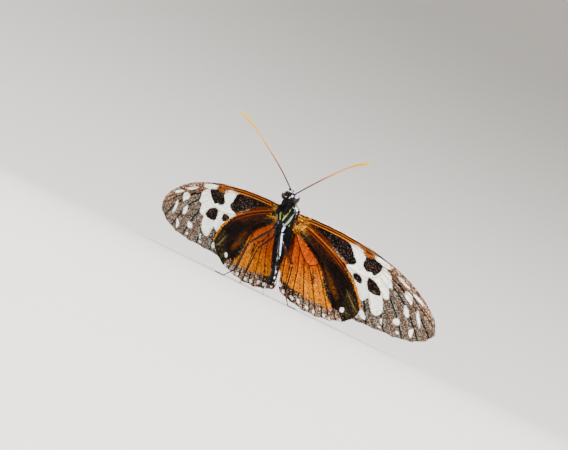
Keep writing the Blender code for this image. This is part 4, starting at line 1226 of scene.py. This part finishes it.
def antenna_path():
    """The left feeler's line, rising from the head and bending outwards near its end."""
    points, here = [(0.42, -6.2, 0.75)], np.array((0.58, -6.75, 1.55))
    count = 22
    for i in range(count + 1):
        points.append(tuple(here))
        share = i / count
        turn = ANTENNA_SPREAD + math.radians(7 * share + 15 * max(0.0, share - 0.65) / 0.35)
        lift = math.radians(8 - 11 * min(1.0, share * 3))
        here = here + np.array((math.sin(turn) * math.cos(lift), -math.cos(turn) * math.cos(lift),
                                math.sin(lift))) * (ANTENNA_LENGTH / count)
    return resample(smooth_line(points, 8), ANTENNA_RINGS * 6 + 1)


def make_antennae():
    """Ringed shafts that swell to a slender club."""
    look = antenna_material()
    path = antenna_path()
    share = np.linspace(0, 1, len(path))
    phase = (share * ANTENNA_RINGS) % 1.0
    ring = np.exp(-(np.minimum(phase, 1 - phase) / 0.13) ** 2)
    club = fade(share, 0.7, 0.93)
    radius = ANTENNA_RADIUS + CLUB_SWELL * club - RING_GROOVE * ring
    radius *= np.where(share < 0.03, 1.5, 1.0) * np.sqrt(np.clip((1.002 - share) / 0.02, 0, 1))
    for name, sign in SIDES:
        mesh, at, _ = tube(path * (sign, 1, 1), radius, 20)
        set_value(mesh, "along", at)
        set_value(mesh, "ring", np.interp(at, share, ring))
        piece = finish("antenna_" + name + "_ringed", mesh, (look,), BODY_TO_WORLD)
        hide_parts("antenna_" + name)


# Mouth

def make_furred_limb(name, mesh, path, at, angle, marks, density, length):
    """A skin along a path with hair that lies towards the path's end; it stands for the node of its name."""
    for key, value in marks.items():
        set_value(mesh, key, value)
    set_value(mesh, "tint", np.full(len(at), 0.3))
    skin_map = np.stack((0.02 + 0.96 * angle / (2 * math.pi), 0.02 + 0.96 * at), axis=1)
    set_map(mesh, "OFBake", skin_map)
    roots, _, owners, weights = spread(mesh, density * FINENESS)
    line = resample(path, 30)
    nearest = np.linalg.norm(roots[:, None] - line[None], axis=2).argmin(axis=1)
    out = unit(roots - line[nearest])
    ahead = unit(np.gradient(line, axis=0))[nearest] + 0.22 * random.normal(0, 1, (len(roots), 3))
    ahead = unit(ahead - out * (ahead * out).sum(axis=1)[:, None])
    tufts, local = coat(roots, out * 0.7, ahead, length * random.uniform(0.6, 1.3, len(roots)),
                        np.full(len(roots), LIMB_HAIR_WIDTH))
    dress(tufts, local, {key: (value[owners] * weights).sum(axis=1) for key, value in marks.items()},
          (skin_map[owners] * weights[:, :, None]).sum(axis=1))
    piece = finish(name + "_skin", mesh, (BODY_FUR,), BODY_TO_WORLD)
    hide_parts(name)
    finish(name + "_fur", tufts, (BODY_FUR,), BODY_TO_WORLD, merge=0)


def make_mouth():
    """The two palps, which curve up before the face, and the coiled proboscis between them."""
    for name, sign in SIDES:
        path = smooth_line([(0.4, -6.4, -0.8), (0.46, -7.0, -1.45), (0.5, -7.55, -1.35), (0.54, -7.95, -0.75),
                            (0.56, -8.1, 0.1)], 12) * (sign, 1, 1)
        share = np.linspace(0, 1, len(path))
        radius = (0.2 + 0.08 * np.sin(math.pi * share)) * np.sqrt(np.clip((1.01 - share) / 0.08, 0, 1))
        mesh, at, angle = tube(path, radius, 24)
        places = corners_of(mesh)
        marks = {key: np.full(len(at), 9.0) for key in ("cream", "sage", "rust")}
        # White scale spots on each palp; the ones near its base also stand in for the glint of the coiled
        # proboscis, and there they are a painted highlight
        spots = ((0.75, -6.9, -1.3, 0.3), (0.5, -8.15, -0.9, 0.26), (0.45, -6.6, -1.35, 0.28),
                 (0.72, -7.9, -0.3, 0.2))
        marks["white"] = np.min([np.linalg.norm(places - (sign * x, y, z), axis=1) - size
                                 for x, y, z, size in spots], axis=0)
        marks["amber"] = distance_to_line(places, np.array([(sign * 0.28, -7.2, -1.35),
                                                            (sign * 0.32, -7.8, -0.9)])) - 0.14
        make_furred_limb("palp_" + name, mesh, path, at, angle, marks, PALP_HAIR_DENSITY, PALP_HAIR)
    start = np.array([(0.0, -6.4, -0.7), (0.0, -6.6, -1.4), (0.0, -6.69, -2.2)])
    share = np.linspace(0, 1, 150)
    spin = math.pi + 2 * math.pi * COIL_TURNS * share
    reach = COIL_RADIUS - COIL_CLOSING * share
    coil = np.stack((0 * share, COIL_Y + reach * np.cos(spin), COIL_Z + reach * np.sin(spin)), axis=1)
    path = resample(np.vstack((start, coil)), 260)
    share = np.linspace(0, 1, len(path))
    radius = (0.17 - 0.07 * share) * (1 - 0.08 * (np.sin(share * 420) > 0.3))
    mesh, at, _ = tube(path, radius, 16)
    piece = finish("proboscis_coil", mesh, (LEG_SHELL,), BODY_TO_WORLD)
    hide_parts("proboscis")


# Legs

def leg_material():
    """Thin chitin tubes in close-lying scales: black, bluish white along the top (partly pale scales, partly
    a painted glint), brown under the femur.
    """
    made, tree, shader = start_material("leg_scaled_chitin", Specular_IOR_Level=0.08, IOR=1.56)
    place = node(tree, "ShaderNodeTexCoord")
    scales = node(tree, "ShaderNodeTexVoronoi", {"Vector": place.outputs["Object"], "Scale": 9000.0})
    grain = node(tree, "ShaderNodeSeparateColor", {"Color": scales.outputs["Color"]})
    dark = node(tree, "ShaderNodeMix", {0: grain.outputs[0], 6: linear("#030304"),
                                        7: linear("#0A0A10")}, data_type="RGBA")
    rust, bloom_and_glint = (node(tree, "ShaderNodeAttribute", attribute_name=each) for each in ("rust", "bloom_and_glint"))
    shell = node(tree, "ShaderNodeMix", {0: rust.outputs["Fac"], 6: dark.outputs[2],
                                         7: linear("#2E0C05")}, data_type="RGBA")
    # The bloom: bluish-white scales along the top, partly real and partly a painted glint where the lamps
    # catch the leg
    ragged = node(tree, "ShaderNodeMath", {0: grain.outputs[1], 1: 0.5, 2: bloom_and_glint.outputs["Fac"]},
                  operation="MULTIPLY_ADD")
    bloom_and_glint_mask = node(tree, "ShaderNodeMapRange", {0: ragged.outputs[0], 1: 0.9, 2: 1.15, 3: 0.0, 4: 1.0})
    colour = node(tree, "ShaderNodeMix", {0: bloom_and_glint_mask.outputs[0], 6: shell.outputs[2],
                                          7: linear("#CCDAFF")}, data_type="RGBA")
    bump = node(tree, "ShaderNodeBump", {"Height": scales.outputs["Distance"], "Strength": 0.4,
                                         "Distance": 0.00003})
    shine = node(tree, "ShaderNodeMapRange", {0: grain.outputs[1], 3: 0.3, 4: 0.5})
    wire(tree, shader, colour.outputs[2], bump.outputs[0], shine.outputs[0])
    return made


LEG_SHELL = leg_material()


def bend(hip, ankle, upper, lower, pole):
    """Where the knee of a two-link limb comes, on the pole's side."""
    span = ankle - hip
    along = (upper ** 2 - lower ** 2 + span.length_squared) / (2 * span.length)
    out = math.sqrt(max(upper ** 2 - along ** 2, 0.01))
    axis = span.normalized()
    return hip + axis * along + (pole - axis * pole.dot(axis)).normalized() * out


def segment(first, last, profile):
    """One leg segment between two points; profile gives its radius at shares of its length."""
    shares = np.linspace(0, 1, 26)
    points = np.array(first) + shares[:, None] * (np.array(last) - np.array(first))
    at, radii = zip(*profile)
    radius = np.interp(shares, at, radii)
    radius *= np.sqrt(np.clip(np.minimum(shares, 1 - shares) / 0.04 + 0.25, 0, 1))
    return tube(points, radius, 14)[0]


def spine(root, tip, radius):
    """A stiff bristle that tapers at its tip."""
    path = np.array([root, root * 0.5 + tip * 0.5, root * 0.1 + tip * 0.9, tip])
    return tube(path, (radius, radius, radius * 0.3, 0.0), 5)[0]


def walking_leg(hip, trochanter, ankle_xy, toe_xy, bloom_and_glint, sign):
    """A leg standing on the floor: coxa, femur, spined tibia with its spurs, and the foot with its claws."""
    hip, trochanter = BODY_TO_WORLD @ Vector(hip), BODY_TO_WORLD @ Vector(trochanter)
    ankle = Vector((ankle_xy[0], THORAX_Y + ankle_xy[1], ANKLE_HEIGHT))
    toe = Vector((toe_xy[0], THORAX_Y + toe_xy[1], FOOT_RADIUS + 0.02))
    knee = bend(trochanter, ankle, FEMUR, TIBIA, Vector((ankle_xy[0], ankle_xy[1] * 0.6, 9.0)))
    heel = ankle.lerp(toe, 0.5)
    heel.z = toe.z
    parts = [
        segment(hip, trochanter, [(0, 0.4), (0.3, 0.5), (0.8, 0.38), (1, 0.3)]),
        segment(trochanter, knee, [(0, 0.22), (0.12, 0.3), (0.4, 0.33), (0.8, 0.24), (1, 0.2)]),
        segment(knee, ankle, [(0, 0.2), (0.06, 0.17), (0.5, 0.17), (0.9, 0.2), (1, 0.17)]),
    ]
    foot = resample(smooth_line([ankle, heel.lerp(ankle, 0.35), heel, heel.lerp(toe, 0.5), toe], 12), 101)
    joints = (0, 44, 60, 74, 87, 100)
    for first, last in zip(joints, joints[1:]):
        along = foot[first:last + 1]
        share = np.linspace(0, 1, len(along))
        radius = (0.115 + 0.035 * share) * np.sqrt(np.clip(np.minimum(share, 1 - share) / 0.06 + 0.3, 0, 1))
        parts.append(tube(along, radius, 12)[0])
    shin = np.array(ankle - knee) / TIBIA
    across = np.cross(shin, (0, 0, 1))
    across /= np.linalg.norm(across)
    for i in range(SHIN_SPINES):
        at = np.array(knee) + shin * TIBIA * (0.25 + 0.05 * i)
        lean = shin * 0.9 + across * (0.5 if i % 2 else -0.5) + np.array((0, 0, -0.3))
        parts.append(spine(at, at + SPINE_LENGTH * lean / np.linalg.norm(lean), SPINE_RADIUS))
    for turn in (-1, 1):
        at = np.array(ankle) - shin * 0.15
        parts.append(spine(at, at + shin * SPUR_LENGTH + across * turn * 0.25, SPUR_RADIUS))
    ahead = foot[-1] - foot[-6]
    ahead /= np.linalg.norm(ahead)
    wide = np.cross(ahead, (0, 0, 1))
    for turn in (-1, 1):
        claw = smooth_line([foot[-2], foot[-1] + ahead * 0.16 + wide * turn * 0.12 + (0, 0, 0.05),
                            foot[-1] + ahead * 0.3 + wide * turn * 0.16 - (0, 0, 0.11)], 5)
        parts.append(tube(claw, np.linspace(0.06, 0.012, len(claw)), 6)[0])
    mesh = join(parts)
    places = corners_of(mesh)
    places[:, 2] = np.maximum(places[:, 2], 0.0)
    # The femur's underside is brown
    brown = distance_to_line(places, np.array([trochanter.lerp(knee, 0.1), trochanter.lerp(knee, 0.75)]))
    femur_y, femur_z = zip(*sorted(((trochanter.y, trochanter.z), (knee.y, knee.z))))
    below = fade(-(places[:, 2] - np.interp(places[:, 1], femur_y, femur_z)), 0.0, 0.2)
    set_corners(mesh, places * (sign, 1, 1))
    set_value(mesh, "rust", (1 - fade(brown, 0.36, 0.4)) * below)
    # Bluish white painted on the side that faces up and forwards: partly the legs' pale scales, partly a
    # painted glint
    set_value(mesh, "bloom_and_glint", bloom_and_glint * fade(facing(mesh, (0.15 * sign, -0.6, 0.8)), 0.55, 0.76))
    return mesh


def make_legs():
    """Four walking legs, and the small furred forelegs folded on the breast."""
    for kind, leg in (("midleg_", MID_LEG), ("hindleg_", HIND_LEG)):
        for name, sign in SIDES:
            piece = finish(kind + name + "_shell", walking_leg(*leg, sign), (LEG_SHELL,), WORLD,
                           merge=1e-4)
            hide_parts(kind + name)
    path = smooth_line(FORE_LEG, 12)
    share = np.linspace(0, 1, len(path))
    radius = (0.3 - 0.16 * share) * (1 - 0.2 * np.exp(-((share - 0.42) / 0.03) ** 2))
    radius[-4:] *= (0.9, 0.75, 0.5, 0.2)
    for name, sign in SIDES:
        mesh, at, angle = tube(path * (sign, 1, 1), radius, 18)
        marks = {key: np.full(len(at), 9.0) for key in ("cream", "sage", "white", "amber", "rust")}
        outer = 0.12 - facing(mesh, (sign, -0.3, -0.3)) * 0.16
        marks["cream"] = np.where((at > 0.2) & (at < 0.62), outer, 9.0)
        make_furred_limb("foreleg_" + name, mesh, path * (sign, 1, 1), at, angle, marks,
                         FORELEG_HAIR_DENSITY, FORELEG_HAIR)


# Stage, lights and camera

def make_stage():
    """A pale floor that curves up slowly into a pale wall; it is flat under the butterfly and the camera."""
    bm = bmesh.new()
    bmesh.ops.create_circle(bm, cap_ends=True, segments=128, radius=FLOOR_RADIUS)
    rim = [e for e in bm.edges if e.is_boundary]
    for step in range(WALL_STEPS + 1):
        grown = bmesh.ops.extrude_edge_only(bm, edges=rim)["geom"]
        rim = [g for g in grown if isinstance(g, bmesh.types.BMEdge) and g.is_boundary]
        climb = math.radians(WALL_CLIMB) * step / WALL_STEPS
        for vert in (g for g in grown if isinstance(g, bmesh.types.BMVert)):
            flat = Vector((vert.co.x, vert.co.y, 0)).normalized()
            vert.co = flat * (FLOOR_RADIUS + FLOOR_RIM + WALL_CURVE * math.sin(climb))
            vert.co.z = WALL_CURVE * (1 - math.cos(climb))
    bmesh.ops.recalc_face_normals(bm, faces=bm.faces)
    if sum(f.normal.z for f in bm.faces) < 0:
        bmesh.ops.reverse_faces(bm, faces=bm.faces)
    azimuth = math.radians(CAMERA_AZIMUTH)
    bmesh.ops.translate(bm, verts=bm.verts, vec=(math.sin(azimuth) * FLOOR_SHIFT,
                                                 -math.cos(azimuth) * FLOOR_SHIFT, 0))
    mesh = to_mesh(bm)
    mesh.shade_smooth()
    made, tree, shader = start_material("matt_paper", Specular_IOR_Level=0.2, Roughness=0.9)
    place = node(tree, "ShaderNodeTexCoord")
    grain = node(tree, "ShaderNodeTexNoise", {"Vector": place.outputs["Object"], "Scale": 900.0})
    tone = node(tree, "ShaderNodeMix", {0: grain.outputs["Fac"], 6: linear("#E6E4E0"),
                                        7: linear("#ECEAE6")}, data_type="RGBA")
    tree.links.new(tone.outputs[2], shader.inputs["Base Color"])
    mesh.materials.append(made)
    floor = bpy.data.objects.new("floor", mesh)
    bpy.context.collection.objects.link(floor)


def area_light(name, place, size, power, colour):
    """A round lamp aimed at the butterfly's middle."""
    data = bpy.data.lights.new(name, "AREA")
    data.shape = "DISK"
    data.size = size
    data.energy = power
    data.color = linear(colour)[:3]
    lamp = bpy.data.objects.new(name, data)
    lamp.location = place
    aim = Vector((0, 0, AIM_HEIGHT)) - Vector(place)
    lamp.rotation_euler = aim.to_track_quat("-Z", "Y").to_euler()
    bpy.context.collection.objects.link(lamp)


def make_lights():
    """A warm key in front, a weak cool fill beside it, a lamp above and a pale room."""
    for lamp in LAMPS:
        area_light(*lamp)
    world = bpy.data.worlds.new("pale_room")
    bpy.context.scene.world = world
    world.use_nodes = True
    sky = world.node_tree.nodes["Background"]
    sky.inputs["Color"].default_value = linear(ROOM_COLOUR)
    sky.inputs["Strength"].default_value = ROOM_STRENGTH


def make_camera():
    """A camera just over the floor, tilted up and rolled."""
    data = bpy.data.cameras.new("camera")
    data.lens = CAMERA_LENS
    data.sensor_width = 36.0
    data.clip_start = 0.005
    data.clip_end = 20.0
    azimuth = math.radians(CAMERA_AZIMUTH)
    place = Vector((math.sin(azimuth) * CAMERA_DISTANCE, -math.cos(azimuth) * CAMERA_DISTANCE,
                    CAMERA_HEIGHT)) * MM
    turn = (Matrix.Rotation(math.radians(CAMERA_AZIMUTH + CAMERA_TURN), 4, "Z")
            @ Matrix.Rotation(math.radians(90 + CAMERA_TILT), 4, "X")
            @ Matrix.Rotation(math.radians(CAMERA_ROLL), 4, "Z"))
    camera = bpy.data.objects.new("camera", data)
    camera.matrix_world = Matrix.Translation(place) @ turn
    bpy.context.collection.objects.link(camera)
    bpy.context.scene.camera = camera


def main():
    """Draws every piece, the camera, the stage and the lamps."""
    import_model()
    make_camera()
    make_wing_pair(FOREWING)
    make_wing_pair(HINDWING)
    make_trunk()
    make_eyes()
    make_antennae()
    make_mouth()
    make_legs()
    make_stage()
    make_lights()


main()
